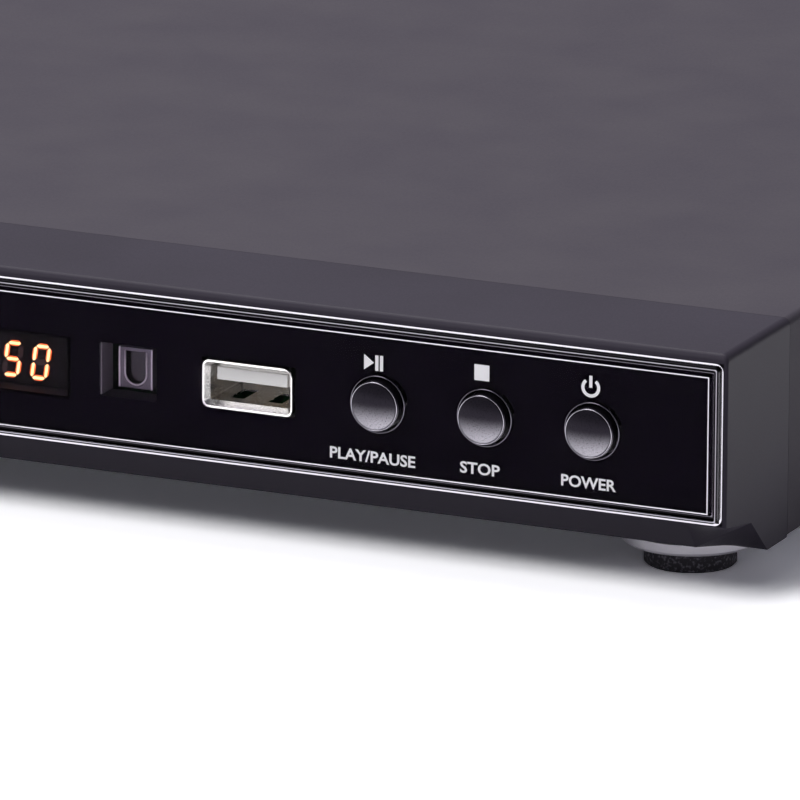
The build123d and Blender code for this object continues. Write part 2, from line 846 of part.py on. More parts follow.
with BuildPart() as chassis:
    shell_half = half_width - cover_sheet - seam
    shell_depth = depth(bezel_depth + seam, body_depth)
    block((-shell_half, shell_half), shell_depth, (case_bottom, flange_top))
    block(
        (-shell_half + chassis_sheet, shell_half - chassis_sheet),
        depth(bezel_depth - 1, body_depth - chassis_sheet),
        (floor_top, flange_top + 1),
        Mode.SUBTRACT,
    )
    block(
        (-shell_half, shell_half),
        depth(body_depth - chassis_sheet, body_depth),
        (case_bottom, cover_under - seam),
    )
    for x, y in board_posts:
        post(x, y, (floor_top - 0.1, main_board_height), standoff_radius)
    for x, y in loader_feet:
        post(x, y, (floor_top - 0.1, frame_bottom), post_radius)
    # openings in the rear panel
    rear_y = depth(body_depth - 2, body_depth + 1)
    block(
        (jack_block_x[0] - panel_fit, jack_block_x[1] + panel_fit),
        rear_y,
        (jack_block_z[0] - panel_fit, jack_block_z[1] + panel_fit),
        Mode.SUBTRACT,
    )
    hdmi_z = main_board_height + board_thickness + hdmi_size[1] / 2
    block(
        about(hdmi_x, hdmi_size[0] + 2 * panel_fit),
        rear_y,
        about(hdmi_z, hdmi_size[1] + 2 * panel_fit),
        Mode.SUBTRACT,
    )
    block(
        about(inlet_x, inlet_size[0] + 2 * panel_fit),
        rear_y,
        about(inlet_z, inlet_size[1] + 2 * panel_fit),
        Mode.SUBTRACT,
    )
    # air slots under the power board
    for step in range(floor_vents):
        block(
            about(sum(power_board_x) / 2, 26.0),
            about(front + power_board_depth[0] + floor_vent_gap + step * vent_pitch, vent_size[0]),
            (case_bottom - 1, floor_top + 1),
            Mode.SUBTRACT,
        )
    for x, z in rear_screws:
        rod_y(x, rear_y, z, screw_shank_radius + 0.1, Mode.SUBTRACT)
keep(chassis, "bottom_chassis")

with BuildPart() as cover:
    cover_depth = depth(bezel_depth + seam, body_depth)
    skirt_bottom = case_bottom + 0.4
    block((-half_width, half_width), cover_depth, (skirt_bottom, body_top))
    fillet(cover.edges().filter_by(Axis.Y).group_by(Axis.Z)[-1], bezel_edge_radius)
    inner_half = half_width - cover_sheet
    block(
        (-inner_half, inner_half),
        depth(bezel_depth - 1, body_depth + 1),
        (skirt_bottom - 1, cover_under),
        Mode.SUBTRACT,
    )
    # folded tabs that the rear screws hold
    for x, z in rear_screws:
        block(
            about(x, tab_width),
            depth(body_depth - 2 * chassis_sheet - seam, body_depth - chassis_sheet - seam),
            (z - tab_width / 3, cover_under + 0.1),
        )
        hole_depths = depth(body_depth - 3, body_depth)
        rod_y(x, hole_depths, z, screw_shank_radius, Mode.SUBTRACT)
    for step in range(vent_count):
        slot_y = about(rear - vent_rear_gap - step * vent_pitch, vent_size[0])
        block(
            (-half_width - 1, half_width + 1), slot_y, about(24.0, vent_size[1]), Mode.SUBTRACT
        )
keep(cover, "top_cover")

with BuildPart() as cover_screws:
    for x, z in rear_screws:
        rod_y(x, depth(body_depth, body_depth + screw_head), z, screw_head_radius)
        rod_y(x, depth(body_depth - screw_length, body_depth + 0.1), z, screw_shank_radius)
keep(cover_screws, "cover_screws")

foot_places = [
    (side * (half_width - foot_inset_side), front + d)
    for side in (-1, 1)
    for d in (foot_inset_front, body_depth - foot_inset_rear)
]
with BuildPart() as foot_discs:
    for x, y in foot_places:
        post(x, y, (pad_height, case_bottom), foot_disc_radius)
    lower_edges = foot_discs.edges().group_by(Axis.Z)[0]
    chamfer(lower_edges, 0.4)
keep(foot_discs, "foot_discs")

with BuildPart() as foot_pads:
    for x, y in foot_places:
        post(x, y, (0, pad_height), pad_radius)
    chamfer(foot_pads.edges().group_by(Axis.Z)[0], 0.3)
keep(foot_pads, "foot_pads")

# ------------------------------------------------------------ circuit boards
board_top = main_board_height + board_thickness


def board(x_pair, depth_pair):
    """A floor board with a screw hole over every post."""
    block(x_pair, depth(*depth_pair), (main_board_height, board_top))
    for x, y in floor_posts(x_pair, depth_pair):
        post(x, y, (main_board_height - 1, board_top + 1), screw_shank_radius, Mode.SUBTRACT)


with BuildPart() as main_board:
    board(main_board_x, main_board_depth)
keep(main_board, "main_board")

with BuildPart() as power_board:
    board(power_board_x, power_board_depth)
keep(power_board, "power_board")

with BuildPart() as board_screws:
    for x, y in board_posts:
        post(x, y, (board_top, board_top + screw_head), screw_head_radius)
        post(x, y, (main_board_height, board_top), screw_shank_radius)
keep(board_screws, "board_screws")

main_width = main_board_x[1] - main_board_x[0]
chip_share = 58 / 96  # its place across the main board
chip_inset = 28.0
chip_x = main_board_x[0] + main_width * chip_share
chip_depth = main_board_depth[0] + chip_inset
chip_size = 20.0
chip_height = 1.6
fin_count = 7
fin_thickness = 1.0
sink_height = 9.0
sink_base = 2.0
sink_size = 22.0
with BuildPart() as decoder_chip:
    block(
        about(chip_x, chip_size),
        about(front + chip_depth, chip_size),
        (board_top, board_top + chip_height),
    )
keep(decoder_chip, "decoder_chip")

with BuildPart() as heat_sink:
    sink_bottom = board_top + chip_height
    sink_y = about(front + chip_depth, sink_size)
    block(about(chip_x, sink_size), sink_y, (sink_bottom, sink_bottom + sink_base))
    fin_step = (sink_size - fin_thickness) / (fin_count - 1)
    for fin in range(fin_count):
        fin_x = chip_x - (sink_size - fin_thickness) / 2 + fin * fin_step
        block(
            about(fin_x, fin_thickness),
            sink_y,
            (sink_bottom, sink_bottom + sink_height),
        )
keep(heat_sink, "heat_sink")

# share of the main board's width, place behind its front edge, radius, height above it
small_capacitors = [
    (18 / 96, 16.0, 4.0, 9.0),
    (30 / 96, 16.0, 4.0, 9.0),
    (18 / 96, 30.0, 3.2, 8.0),
    (30 / 96, 30.0, 3.2, 8.0),
    (82 / 96, 48.0, 4.0, 9.0),
    (82 / 96, 62.0, 4.0, 9.0),
]
# the same on the power board, in from its left edge
large_capacitors = [
    (14.0, 22.0, 5.0, 16.0),
    (28.0, 22.0, 5.0, 16.0),
    (25.0, 98.0, 8.0, 20.0),
]
with BuildPart() as capacitors:
    for share, d, radius, height in small_capacitors:
        x = main_board_x[0] + share * main_width
        post(x, front + main_board_depth[0] + d, (board_top, board_top + height), radius)
    for inset, d, radius, height in large_capacitors:
        x = power_board_x[0] + inset
        post(x, front + power_board_depth[0] + d, (board_top, board_top + height), radius)
keep(capacitors, "capacitors")

core_size = (26.0, 24.0, 17.0)
core_inset = 58.0
core_depth = power_board_depth[0] + core_inset
core_overhang = 5.0  # winding beyond the core's limbs, each side
core_limb = 6.0
core_x = sum(power_board_x) / 2
with BuildPart() as transformer_core:
    core_z = (board_top, board_top + core_size[2])
    core_y = about(front + core_depth, core_size[1] - 2 * core_overhang)
    block(about(core_x, core_size[0]), core_y, core_z)
    block(
        about(core_x, core_size[0] - 2 * core_limb),
        core_y,
        (core_z[0] + core_limb / 2, core_z[1] - core_limb / 2),
        Mode.SUBTRACT,
    )
    block(about(core_x, core_limb), core_y, core_z)
keep(transformer_core, "transformer_core")

with BuildPart() as transformer_winding:
    winding_z = (core_z[0] + core_limb / 2 + 0.1, core_z[1] - core_limb / 2 - 0.1)
    block(
        about(core_x, core_size[0] - 2 * core_limb - 0.2),
        about(front + core_depth, core_size[1]),
        winding_z,
    )
    block(
        about(core_x, core_limb + 0.1),
        about(front + core_depth, core_size[1] - 2 * core_overhang + 0.1),
        winding_z,
        Mode.SUBTRACT,
    )
keep(transformer_winding, "transformer_winding")

ribbon_inset = 28.0
ribbon_width = 20.0
ribbon_landing = 6.0  # how far it reaches over the main board
ribbon_x = (main_board_x[0] + ribbon_inset, main_board_x[0] + ribbon_inset + ribbon_width)
ribbon_thickness = 0.3
ribbon_lift = 2.1
ribbon_depths = (board_front + board_thickness, main_board_depth[0] + ribbon_landing)
with BuildPart() as front_ribbon:
    low = case_bottom + bezel_wall + ribbon_lift
    block(
        ribbon_x,
        depth(ribbon_depths[0], ribbon_depths[0] + ribbon_thickness),
        (low, low + 8.0),
    )
    block(
        ribbon_x,
        depth(ribbon_depths[0], main_board_depth[0] - 2 + ribbon_thickness),
        (low, low + ribbon_thickness),
    )
    rise = (main_board_depth[0] - 2, main_board_depth[0] - 2 + ribbon_thickness)
    block(ribbon_x, depth(*rise), (low, board_top + 1.0))
    block(
        ribbon_x,
        depth(rise[0], ribbon_depths[1]),
        (board_top + 1.0 - ribbon_thickness, board_top + 1.0),
    )
    block(
        (ribbon_x[0] - 2, ribbon_x[1] + 2),
        depth(ribbon_depths[1] - 2, ribbon_depths[1] + 3),
        (board_top, board_top + 2.2),
    )
keep(front_ribbon, "front_ribbon")

# --------------------------------------------------------------- rear sockets
jack_middle = (sum(jack_block_x) / 2, sum(jack_block_z) / 2)
jack_places = [
    (jack_middle[0] + side * jack_pitch_x / 2, jack_middle[1] + level * jack_pitch_z / 2)
    for side in (-1, 1)
    for level in (-1, 1)
]
jack_wall = 0.55
insert_depth = 1.0  # inserts lie this far inside their sleeves
with BuildPart() as jack_block:
    block(jack_block_x, depth(body_depth - jack_block_length, body_depth + 0.4), jack_block_z)
    # square chambers for the sprung contacts that grip the plug's pin
    for x, z in jack_places:
        chamber = 2 * jack_bore
        chamber_y = depth(body_depth - jack_chamber_length, body_depth + 1)
        block(about(x, chamber), chamber_y, about(z, chamber), Mode.SUBTRACT)
keep(jack_block, "jack_block")

sleeve_base = body_depth + 0.4
with BuildPart() as jack_sleeves:
    for x, z in jack_places:
        rod_y(x, depth(sleeve_base, body_depth + jack_proud), z, jack_radius)
        rod_y(
            x, depth(sleeve_base - 1, body_depth + jack_proud + 1), z, jack_radius - jack_wall,
            Mode.SUBTRACT,
        )
keep(jack_sleeves, "jack_sleeves")

with BuildPart() as jack_inserts:
    for x, z in jack_places:
        insert_y = depth(sleeve_base, body_depth + jack_proud - insert_depth)
        rod_y(x, insert_y, z, jack_radius - jack_wall)
        rod_y(x, depth(sleeve_base - 1, body_depth + jack_proud), z, jack_bore, Mode.SUBTRACT)
keep(jack_inserts, "jack_inserts")

hdmi_back = body_depth + 0.3
hdmi_corner = 1.6
hdmi_plane = Plane((hdmi_x, front + hdmi_back, hdmi_z), x_dir=(1, 0, 0), z_dir=(0, -1, 0))


def hdmi_outline(shrink):
    """The socket's outline with its two lower corners cut off, made smaller by shrink."""
    wide = hdmi_size[0] / 2 - shrink
    tall = hdmi_size[1] / 2 - shrink
    cut = hdmi_corner
    return [
        (-wide, tall),
        (wide, tall),
        (wide, -tall + cut),
        (wide - cut, -tall),
        (-wide + cut, -tall),
        (-wide, -tall + cut),
    ]


with BuildPart() as hdmi_shell:
    for shrink, start, mode in ((0, 0, Mode.ADD), (hdmi_wall, -1, Mode.SUBTRACT)):
        with BuildSketch(hdmi_plane.offset(start)) as hdmi_view:
            with BuildLine():
                Polyline(*hdmi_outline(shrink), close=True)
            make_face()
        extrude(amount=hdmi_length + 2 * abs(start), mode=mode)
keep(hdmi_shell, "hdmi_shell")

with BuildPart() as hdmi_tongue:
    tongue_wide = hdmi_size[0] - 4.0
    block(
        about(hdmi_x, tongue_wide),
        depth(hdmi_back - hdmi_length, hdmi_back - 1.0),
        about(hdmi_z + 0.3, 1.4),
    )
    block(
        about(hdmi_x, hdmi_size[0] - 2 * hdmi_corner - 2 * hdmi_wall),
        depth(hdmi_back - hdmi_length, hdmi_back - hdmi_length + 1.5),
        about(hdmi_z, hdmi_size[1] - 2 * hdmi_wall),
    )
keep(hdmi_tongue, "hdmi_tongue")

inlet_face = body_depth + 0.8
inlet_length = 16.0
with BuildPart() as mains_inlet:
    block(
        about(inlet_x, inlet_size[0]),
        depth(inlet_face - inlet_length, inlet_face),
        about(inlet_z, inlet_size[1]),
    )
    block(
        about(inlet_x, inlet_size[0] - 4),
        depth(inlet_face - inlet_length, body_depth - 2),
        (board_top, inlet_z),
    )
    for side in (-1, 1):
        rod_y(
            inlet_x + side * inlet_lobe_pitch / 2,
            depth(inlet_face - inlet_recess, inlet_face + 1),
            inlet_z,
            inlet_lobe_radius,
            Mode.SUBTRACT,
        )
keep(mains_inlet, "mains_inlet")

with BuildPart() as inlet_pins:
    for side in (-1, 1):
        rod_y(
            inlet_x + side * inlet_lobe_pitch / 2,
            depth(inlet_face - inlet_recess, inlet_face - 1.5),
            inlet_z,
            inlet_pin_radius,
        )
keep(inlet_pins, "inlet_pins")

# ---------------------------------------------------------------- disc loader
left_wall = (tray_x - frame_half, tray_x - frame_half + frame_wall)
right_wall = (tray_x + frame_half - frame_wall, tray_x + frame_half)
ledge_top = tray_skirt - slide_gap
tab_bottom = tray_rim + slide_gap
boss_top = 17.0
beam_depths = (cam_depth - cam_clearance - guide_beam, cam_depth - cam_clearance)
lip_depths = (cam_depth + cam_thickness + cam_clearance, deck_front - 1.2)
rear_floor = (pivot_depth - 5, frame_rear)

with BuildPart() as loader_frame:
    inside = (left_wall[0], right_wall[1])
    for wall in (left_wall, right_wall):
        block(wall, depth(frame_front, frame_rear), (frame_bottom, frame_top))
    for wall, inward in ((left_wall, 1), (right_wall, -1)):
        inner_face = wall[1] if inward > 0 else wall[0]
        ledge = tuple(sorted((inner_face - inward * 0.1, inner_face + inward * ledge_width)))
        block(ledge, depth(frame_front, frame_rear), (ledge_top - ledge_thickness, ledge_top))
        for tab in tab_depths:
            block(ledge, depth(tab, tab + tab_length), (tab_bottom, tab_bottom + 1.6))
    # front end lifted clear of the moulding's slanted underside
    block(inside, depth(frame_front - 1, keel_depth + 1), (frame_bottom - 1, shelf_bottom), Mode.SUBTRACT)
    # shelf under the gear train
    block(inside, depth(frame_front, shelf_rear), (shelf_bottom, shelf_top))
    # channel that guides the cam slider
    block(inside, depth(*beam_depths), (frame_bottom, cam_top - 3.0))
    block(inside, depth(beam_depths[0], lip_depths[1]), (frame_bottom, cam_bottom - slide_gap))
    block(inside, depth(*lip_depths), (frame_bottom, cam_bottom + guide_lip))
    # floor, rear wall and pivot brackets
    block(inside, depth(*rear_floor), (frame_bottom, frame_bottom + 1.6))
    block(
        inside, depth(frame_rear - frame_wall, frame_rear), (frame_bottom, ledge_top)
    )
    for side in (-1, 1):
        bracket_x = about(tray_x + side * (deck_half + pivot_length - 2.0), 4.0)
        block(
            bracket_x,
            depth(pivot_depth - 4.5, pivot_depth + 4.5),
            (frame_bottom, pivot_height + 4.0),
        )
        rod_x(
            about(tray_x + side * (deck_half + pivot_length - 2.0), 6.0),
            front + pivot_depth,
            pivot_height,
            pivot_radius + pivot_clearance,
            Mode.SUBTRACT,
        )
    for x, y in loader_feet:
        post(x, y, (frame_bottom, boss_top), post_radius)
        post(x, y, (frame_bottom - 1, boss_top + 1), screw_shank_radius, Mode.SUBTRACT)
    # axles, and the hole that the motor hangs in
    post(drive_x, gear_y, (shelf_bottom, rack_top - 0.4), axle_radius)
    post(pulley_x, gear_y, (shelf_bottom, pulley_bottom + pulley_height + 0.4), axle_radius)
    motor_hole = motor_radius + panel_fit
    post(motor_x, gear_y, (shelf_bottom - 1, shelf_top + 1), motor_hole, Mode.SUBTRACT)
    # light cut-outs in the side walls
    for start in (disc_depth - 1.5, disc_depth + 46.5):
        for wall in (left_wall, right_wall):
            block(
                (wall[0] - 1, wall[1] + 1),
                depth(start, start + window_length),
                (frame_bottom + 3, ledge_top - ledge_thickness - 2),
                Mode.SUBTRACT,
            )
keep(loader_frame, "loader_frame")

with BuildPart() as loader_screws:
    for x, y in loader_feet:
        post(x, y, (boss_top, boss_top + 0.5), screw_head_radius - 0.4)
        post(x, y, (frame_bottom, boss_top), screw_shank_radius)
keep(loader_screws, "loader_screws")

with BuildPart() as loading_motor:
    post(motor_x, gear_y, (motor_bottom, motor_top), motor_radius)
    post(motor_x, gear_y, (shelf_top, shelf_top + 0.8), motor_radius + 1.5)
    post(motor_x, gear_y, (motor_top, pulley_bottom), 2.0)
keep(loading_motor, "loading_motor")

groove = 0.8
belt_low = pulley_bottom + (pulley_height - belt_section) / 2
belt_z = (belt_low, belt_low + belt_section)


def pulley(x, radius, bore):
    """A belt pulley with a groove for the belt and a bore."""
    post(x, gear_y, (pulley_bottom, pulley_bottom + pulley_height), radius)
    with Locations(Location((x, gear_y, sum(belt_z) / 2))):
        Cylinder(radius + 1, belt_section + 0.1, mode=Mode.SUBTRACT)
        Cylinder(radius - groove, belt_section + 0.1)


with BuildPart() as motor_pulley:
    pulley(motor_x, motor_pulley_radius, 0)
    post(
        motor_x,
        gear_y,
        (pulley_bottom, pulley_bottom + pulley_height + 0.6),
        motor_shaft_radius,
    )
keep(motor_pulley, "motor_pulley")

with BuildPart() as pulley_gear:
    gear(pulley_x, gear_y, (wheel_bottom, pulley_bottom), pulley_pinion_teeth, 15.0)
    pulley(pulley_x, pulley_radius, gear_bore)
    post(
        pulley_x,
        gear_y,
        (wheel_bottom - 1, pulley_bottom + pulley_height + 1),
        gear_bore,
        Mode.SUBTRACT,
    )
keep(pulley_gear, "pulley_gear")

with BuildPart() as drive_gear:
    gear(drive_x, gear_y, (wheel_bottom, wheel_bottom + wheel_thickness), wheel_teeth)
    gear(drive_x, gear_y, (wheel_bottom + wheel_thickness, rack_top - 0.4), pinion_teeth)
    post(drive_x, gear_y, (wheel_bottom - 1, rack_top + 1), gear_bore, Mode.SUBTRACT)
keep(drive_gear, "drive_gear")


def belt_loop(spread):
    """The hull of two circles round the pulley grooves, widened by spread."""
    with BuildSketch(Plane((0, 0, belt_z[0]))) as loop:
        with Locations((pulley_x, gear_y)):
            Circle(pulley_radius - groove + spread)
        with Locations((motor_x, gear_y)):
            Circle(motor_pulley_radius - groove + spread)
        make_hull()
    return loop.sketch


outer_loop = belt_loop(belt_gap + belt_section)
inner_loop = belt_loop(belt_gap)
with BuildPart() as drive_belt:
    extrude(outer_loop, amount=belt_section)
    extrude(inner_loop, amount=belt_section, mode=Mode.SUBTRACT)
keep(drive_belt, "drive_belt")

# cam slider: two sloping slots carry the deck's follower pins
slot_tilt = degrees(atan2(follower_drop, cam_travel))
slot_length = sqrt(follower_drop**2 + cam_travel**2)
with BuildPart() as cam_slider:
    block(
        about(tray_x, 2 * cam_half),
        depth(cam_depth, cam_depth + cam_thickness),
        (cam_bottom, cam_top),
    )
    slot_plane = Plane(
        (tray_x, front + cam_depth + cam_thickness + 1, follower_height),
        x_dir=(1, 0, 0),
        z_dir=(0, -1, 0),
    )
    with BuildSketch(slot_plane) as slots:
        for side in (-1, 1):
            middle = (side * follower_side - cam_travel / 2, -follower_drop / 2)
            with Locations(Location((middle[0], middle[1], 0), (0, 0, slot_tilt))):
                SlotCenterToCenter(slot_length, 2 * (follower_radius + cam_clearance))
    extrude(amount=cam_thickness + 2, mode=Mode.SUBTRACT)
keep(cam_slider, "cam_slider")

# deck ring with its pivots at the back and follower pins at the front
with BuildPart() as deck_ring_part:
    ring_z = (deck_bottom, deck_top)
    block(about(tray_x, 2 * deck_half), depth(deck_front, deck_rear), ring_z)
    block(
        about(tray_x, 2 * (deck_half - deck_ring)),
        depth(deck_front + deck_ring / 2, deck_rear - deck_ring / 2),
        (deck_bottom - 1, deck_top + 1),
        Mode.SUBTRACT,
    )
    for side in (-1, 1):
        ear_x = tray_x + side * (deck_half - deck_ring / 2)
        block(
            about(ear_x, deck_ring),
            depth(deck_rear - 1, pivot_depth + 3.0),
            (pivot_height - 2.8, pivot_height + 2.8),
        )
        pin = sorted((tray_x + side * (deck_half - 1), tray_x + side * (deck_half + pivot_length)))
        rod_x(tuple(pin), front + pivot_depth, pivot_height, pivot_radius)
        rod_y(
            tray_x + side * follower_side,
            depth(cam_depth - cam_clearance / 2, deck_front + 1),
            follower_height,
            follower_radius,
        )
        # corner lands for the rubber dampers
        for d in (plate_front + damper_inset, plate_rear - damper_inset):
            land_x = tray_x + side * (plate_half - damper_inset + damper_land_offset)
            land_z = (deck_top - damper_land_thickness, deck_top)
            block(about(land_x, damper_land), about(front + d, 2 * damper_radius), land_z)
keep(deck_ring_part, "deck_ring")

damper_places = [
    (tray_x + side * (plate_half - damper_inset), front + d)
    for side in (-1, 1)
    for d in (plate_front + damper_inset, plate_rear - damper_inset)
]
with BuildPart() as deck_dampers:
    plate_z = (plate_bottom, plate_bottom + plate_thickness)
    for x, y in damper_places:
        post(x, y, (deck_top, plate_z[0]), damper_radius)
        post(x, y, plate_z, damper_neck)
        post(x, y, (plate_z[1], damper_top), damper_radius)
        post(x, y, (deck_top - 1, damper_top + 1), 1.0, Mode.SUBTRACT)
keep(deck_dampers, "deck_dampers")

with BuildPart() as deck_screws:
    for x, y in damper_places:
        post(x, y, (deck_top, damper_top), 1.0)
        post(x, y, (damper_top, damper_top + 0.7), damper_radius - 0.4)
keep(deck_screws, "deck_screws")

lens_depth = disc_depth + read_start
window_depths = (lens_depth - pickup_length[0] - 1.5, lens_depth + pickup_travel + pickup_length[1] + 0.6)
with BuildPart() as traverse_plate:
    block(about(tray_x, 2 * plate_half), depth(plate_front, plate_rear), plate_z)
    block(
        about(tray_x, 2 * pickup_half + 2.4),
        depth(*window_depths),
        (plate_z[0] - 1, plate_z[1] + 1),
        Mode.SUBTRACT,
    )
    post(tray_x, disc_y, (plate_z[0] - 1, plate_z[1] + 1), 3.0, Mode.SUBTRACT)
    for x, y in damper_places:
        hole_z = (plate_z[0] - 1, plate_z[1] + 1)
        post(x, y, hole_z, damper_neck + damper_fit, Mode.SUBTRACT)
    # lugs that hold the two guide rods
    for side in (-1, 1):
        for start in (rail_depths[0], rail_depths[1] - rail_holder):
            lug = (start, start + rail_holder)
            block(
                about(tray_x + side * rail_side, 5.0),
                depth(*lug),
                (rail_height - 2.4, plate_z[0] + 0.1),
            )
            rod_y(
                tray_x + side * rail_side,
                depth(lug[0] - 1, lug[1] + 1),
                rail_height,
                rail_radius + 0.01,
                Mode.SUBTRACT,
            )
keep(traverse_plate, "traverse_plate")

with BuildPart() as guide_rods:
    for side in (-1, 1):
        rod_y(tray_x + side * rail_side, depth(*rail_depths), rail_height, rail_radius)
keep(guide_rods, "guide_rods")

with BuildPart() as spindle_motor:
    post(tray_x, disc_y, (spindle_motor_bottom, plate_z[0]), spindle_radius)
    post(tray_x, disc_y, (plate_z[0] - 0.1, plate_z[1] + 0.2), 2.9)
keep(spindle_motor, "spindle_motor")

with BuildPart() as turntable:
    post(tray_x, disc_y, (rotor_bottom, rotor_top), spindle_radius)
    post(tray_x, disc_y, (rotor_top - 0.1, seat_height), 6.0)
    post(
        tray_x, disc_y, (seat_height - turntable_thickness, seat_height), turntable_radius
    )
    post(tray_x, disc_y, (seat_height, seat_height + hub_rise), hub_radius)
    hub_top = turntable.edges().group_by(Axis.Z)[-1]
    chamfer(hub_top, 1.2)
keep(turntable, "turntable")

pickup_y = depth(lens_depth - pickup_length[0], lens_depth + pickup_length[1])
lens_y = front + lens_depth
with BuildPart() as pickup_body:
    block(about(tray_x, 2 * pickup_half), pickup_y, (pickup_bottom, pickup_top))
    for side in (-1, 1):
        ear = sorted((tray_x + side * (pickup_half - 1), tray_x + side * (rail_side + 2.8)))
        block(
            tuple(ear),
            depth(lens_depth - 4, lens_depth + 10),
            (rail_height - 2.4, rail_height + 2.6),
        )
        rod_y(
            tray_x + side * rail_side,
            depth(lens_depth - 12, lens_depth + 18),
            rail_height,
            rail_radius + rail_clearance,
            Mode.SUBTRACT,
        )
    # arm with the nut that rides on the lead screw
    block(
        (tray_x + rail_side + 2, tray_x + screw_side + 2.8),
        depth(lens_depth, lens_depth + 7),
        (rail_height - 2.4, rail_height + 2.6),
    )
    rod_y(
        tray_x + screw_side,
        depth(lens_depth - 1, lens_depth + 8),
        rail_height,
        screw_radius + rail_clearance,
        Mode.SUBTRACT,
    )
    # bay for the lens holder
    block(
        about(tray_x, 15.0),
        about(lens_y, 13.0),
        (pickup_top - 3.0, pickup_top + 1),
        Mode.SUBTRACT,
    )
keep(pickup_body, "pickup_body")

with BuildPart() as pickup_lens:
    block(about(tray_x, 12.0), about(lens_y, 10.5), (pickup_top - 3.0, pickup_top + 0.6))
    post(tray_x, lens_y, (pickup_top, lens_ring_top), lens_ring_radius - 0.6)
    with Locations(Location((tray_x, lens_y, lens_ring_top))):
        Cone(
            objective_radius + 1.0,
            objective_radius,
            objective_top - lens_ring_top,
            align=(Align.CENTER, Align.CENTER, Align.MIN),
        )
keep(pickup_lens, "pickup_lens")

with BuildPart() as sled_motor:
    motor_line = (tray_x + screw_side, rail_height)
    rod_y(motor_line[0], depth(*sled_motor_depths), motor_line[1], sled_motor_radius)
    block(
        about(motor_line[0], 2 * sled_motor_radius),
        depth(sled_motor_depths[0] + 8, sled_motor_depths[1]),
        (motor_line[1], plate_z[0]),
    )
keep(sled_motor, "sled_motor")

with BuildPart() as lead_screw:
    rod_y(
        motor_line[0],
        depth(sled_motor_depths[1] + 0.05, plate_rear - 9.6),
        motor_line[1],
        screw_radius,
    )
keep(lead_screw, "lead_screw")

# ------------------------------------------------------------------- clamper
bridge_top = bridge_bottom + bridge_thickness
with BuildPart() as clamp_bridge:
    block(
        (left_wall[0], right_wall[1]),
        about(disc_y, 2 * bridge_half_depth),
        (bridge_bottom, bridge_top),
    )
    post(tray_x, disc_y, (bridge_bottom - 1, bridge_top + 1), bridge_hole_radius, Mode.SUBTRACT)
keep(clamp_bridge, "clamp_bridge")

cap_bottom = bridge_top + clamper_float
with BuildPart() as clamper:
    post(tray_x, disc_y, (clamper_bottom, clamper_bottom + 1.9), clamper_radius)
    post(tray_x, disc_y, (clamper_bottom, cap_bottom), clamper_neck_radius)
    post(
        tray_x,
        disc_y,
        (clamper_bottom - 1, clamper_bottom + clamper_recess),
        clamper_recess_radius,
        Mode.SUBTRACT,
    )
keep(clamper, "clamper")

with BuildPart() as clamper_cap_part:
    post(tray_x, disc_y, (cap_bottom, cap_bottom + clamper_cap), clamper_cap_radius)
    post(tray_x, disc_y, (cap_bottom, cap_bottom + 2.4), 5.0)
keep(clamper_cap_part, "clamper_cap")

# ---------------------------------------------------------------------- tray
rack_count = int((tray_rear - 14.0) / (pi * gear_module))


def rack_outline():
    """Corner points of the rack: teeth towards -X, a tooth space level with the drive axle."""
    slope = tan(radians(pressure_angle))
    step = pi * gear_module
    points = []
    for tooth in range(-3, rack_count - 3):
        middle = gear_y + (tooth + 0.5) * step
        half = step / 4 - backlash / 4
        for reach, place in (
            (1.2 * gear_module, -half - 1.2 * gear_module * slope),
            (-gear_module, -half + gear_module * slope),
            (-gear_module, half - gear_module * slope),
            (1.2 * gear_module, half + 1.2 * gear_module * slope),
        ):
            points.append((rack_x + reach, middle + place))
    back = rack_x + 1.2 * gear_module + rack_back
    points.append((back, points[-1][1]))
    points.append((back, points[0][1]))
    return points


with BuildPart() as disc_tray:
    tray_sides = about(tray_x, 2 * tray_half)
    tray_depths = depth(tray_front, tray_rear)
    block(tray_sides, tray_depths, (rack_top, tray_rim))
    # side skirts that slide on the frame's ledges
    for side in (-1, 1):
        skirt = tray_x + side * (tray_half - tray_skirt_thickness / 2)
        block(about(skirt, tray_skirt_thickness), tray_depths, (tray_skirt, rack_top + 0.1))
    # front bar behind the door
    block(tray_sides, depth(tray_front, tray_front + 2.4), (tray_skirt, rack_top + 0.1))
    with BuildSketch(Plane((0, 0, rack_bottom))):
        with BuildLine():
            Polyline(*rack_outline(), close=True)
        make_face()
    extrude(amount=rack_top - rack_bottom + 0.1)
    # large and small disc recesses
    post(tray_x, disc_y, (tray_floor, tray_rim + 1), disc_radius + recess_clearance, Mode.SUBTRACT)
    post(
        tray_x,
        disc_y,
        (tray_floor - small_recess_drop, tray_floor + 1),
        small_recess_radius,
        Mode.SUBTRACT,
    )
    # slot for the turntable and the lens, open at the rear
    post(tray_x, disc_y, (rack_top - 1, tray_floor + 1), channel_half, Mode.SUBTRACT)
    block(
        about(tray_x, 2 * channel_half),
        (disc_y, front + tray_rear + 1),
        (rack_top - 1, tray_rim + 1),
        Mode.SUBTRACT,
    )
    # finger scoops in the front corners of the recess
    for side in (-1, 1):
        post(
            tray_x + side * 44.0,
            front + 22.0,
            (tray_floor - small_recess_drop, tray_rim + 1),
            11.0,
            Mode.SUBTRACT,
        )
keep(disc_tray, "disc_tray")

with BuildPart() as tray_door:
    block(
        about(tray_x, door_width), depth(0, door_thickness), (door_bottom, door_top)
    )
    chamfer(tray_door.faces().sort_by(Axis.Y)[0].edges(), door_edge)
keep(tray_door, "tray_door")
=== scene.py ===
# Dressed scene of a slim disc player with a motor-driven tray.
# Metres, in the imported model's own frame: +X right, -Y out of the front panel, +Z up.
from math import cos, pi, radians, sin

import bmesh
import bpy
from mathutils import Matrix, Vector


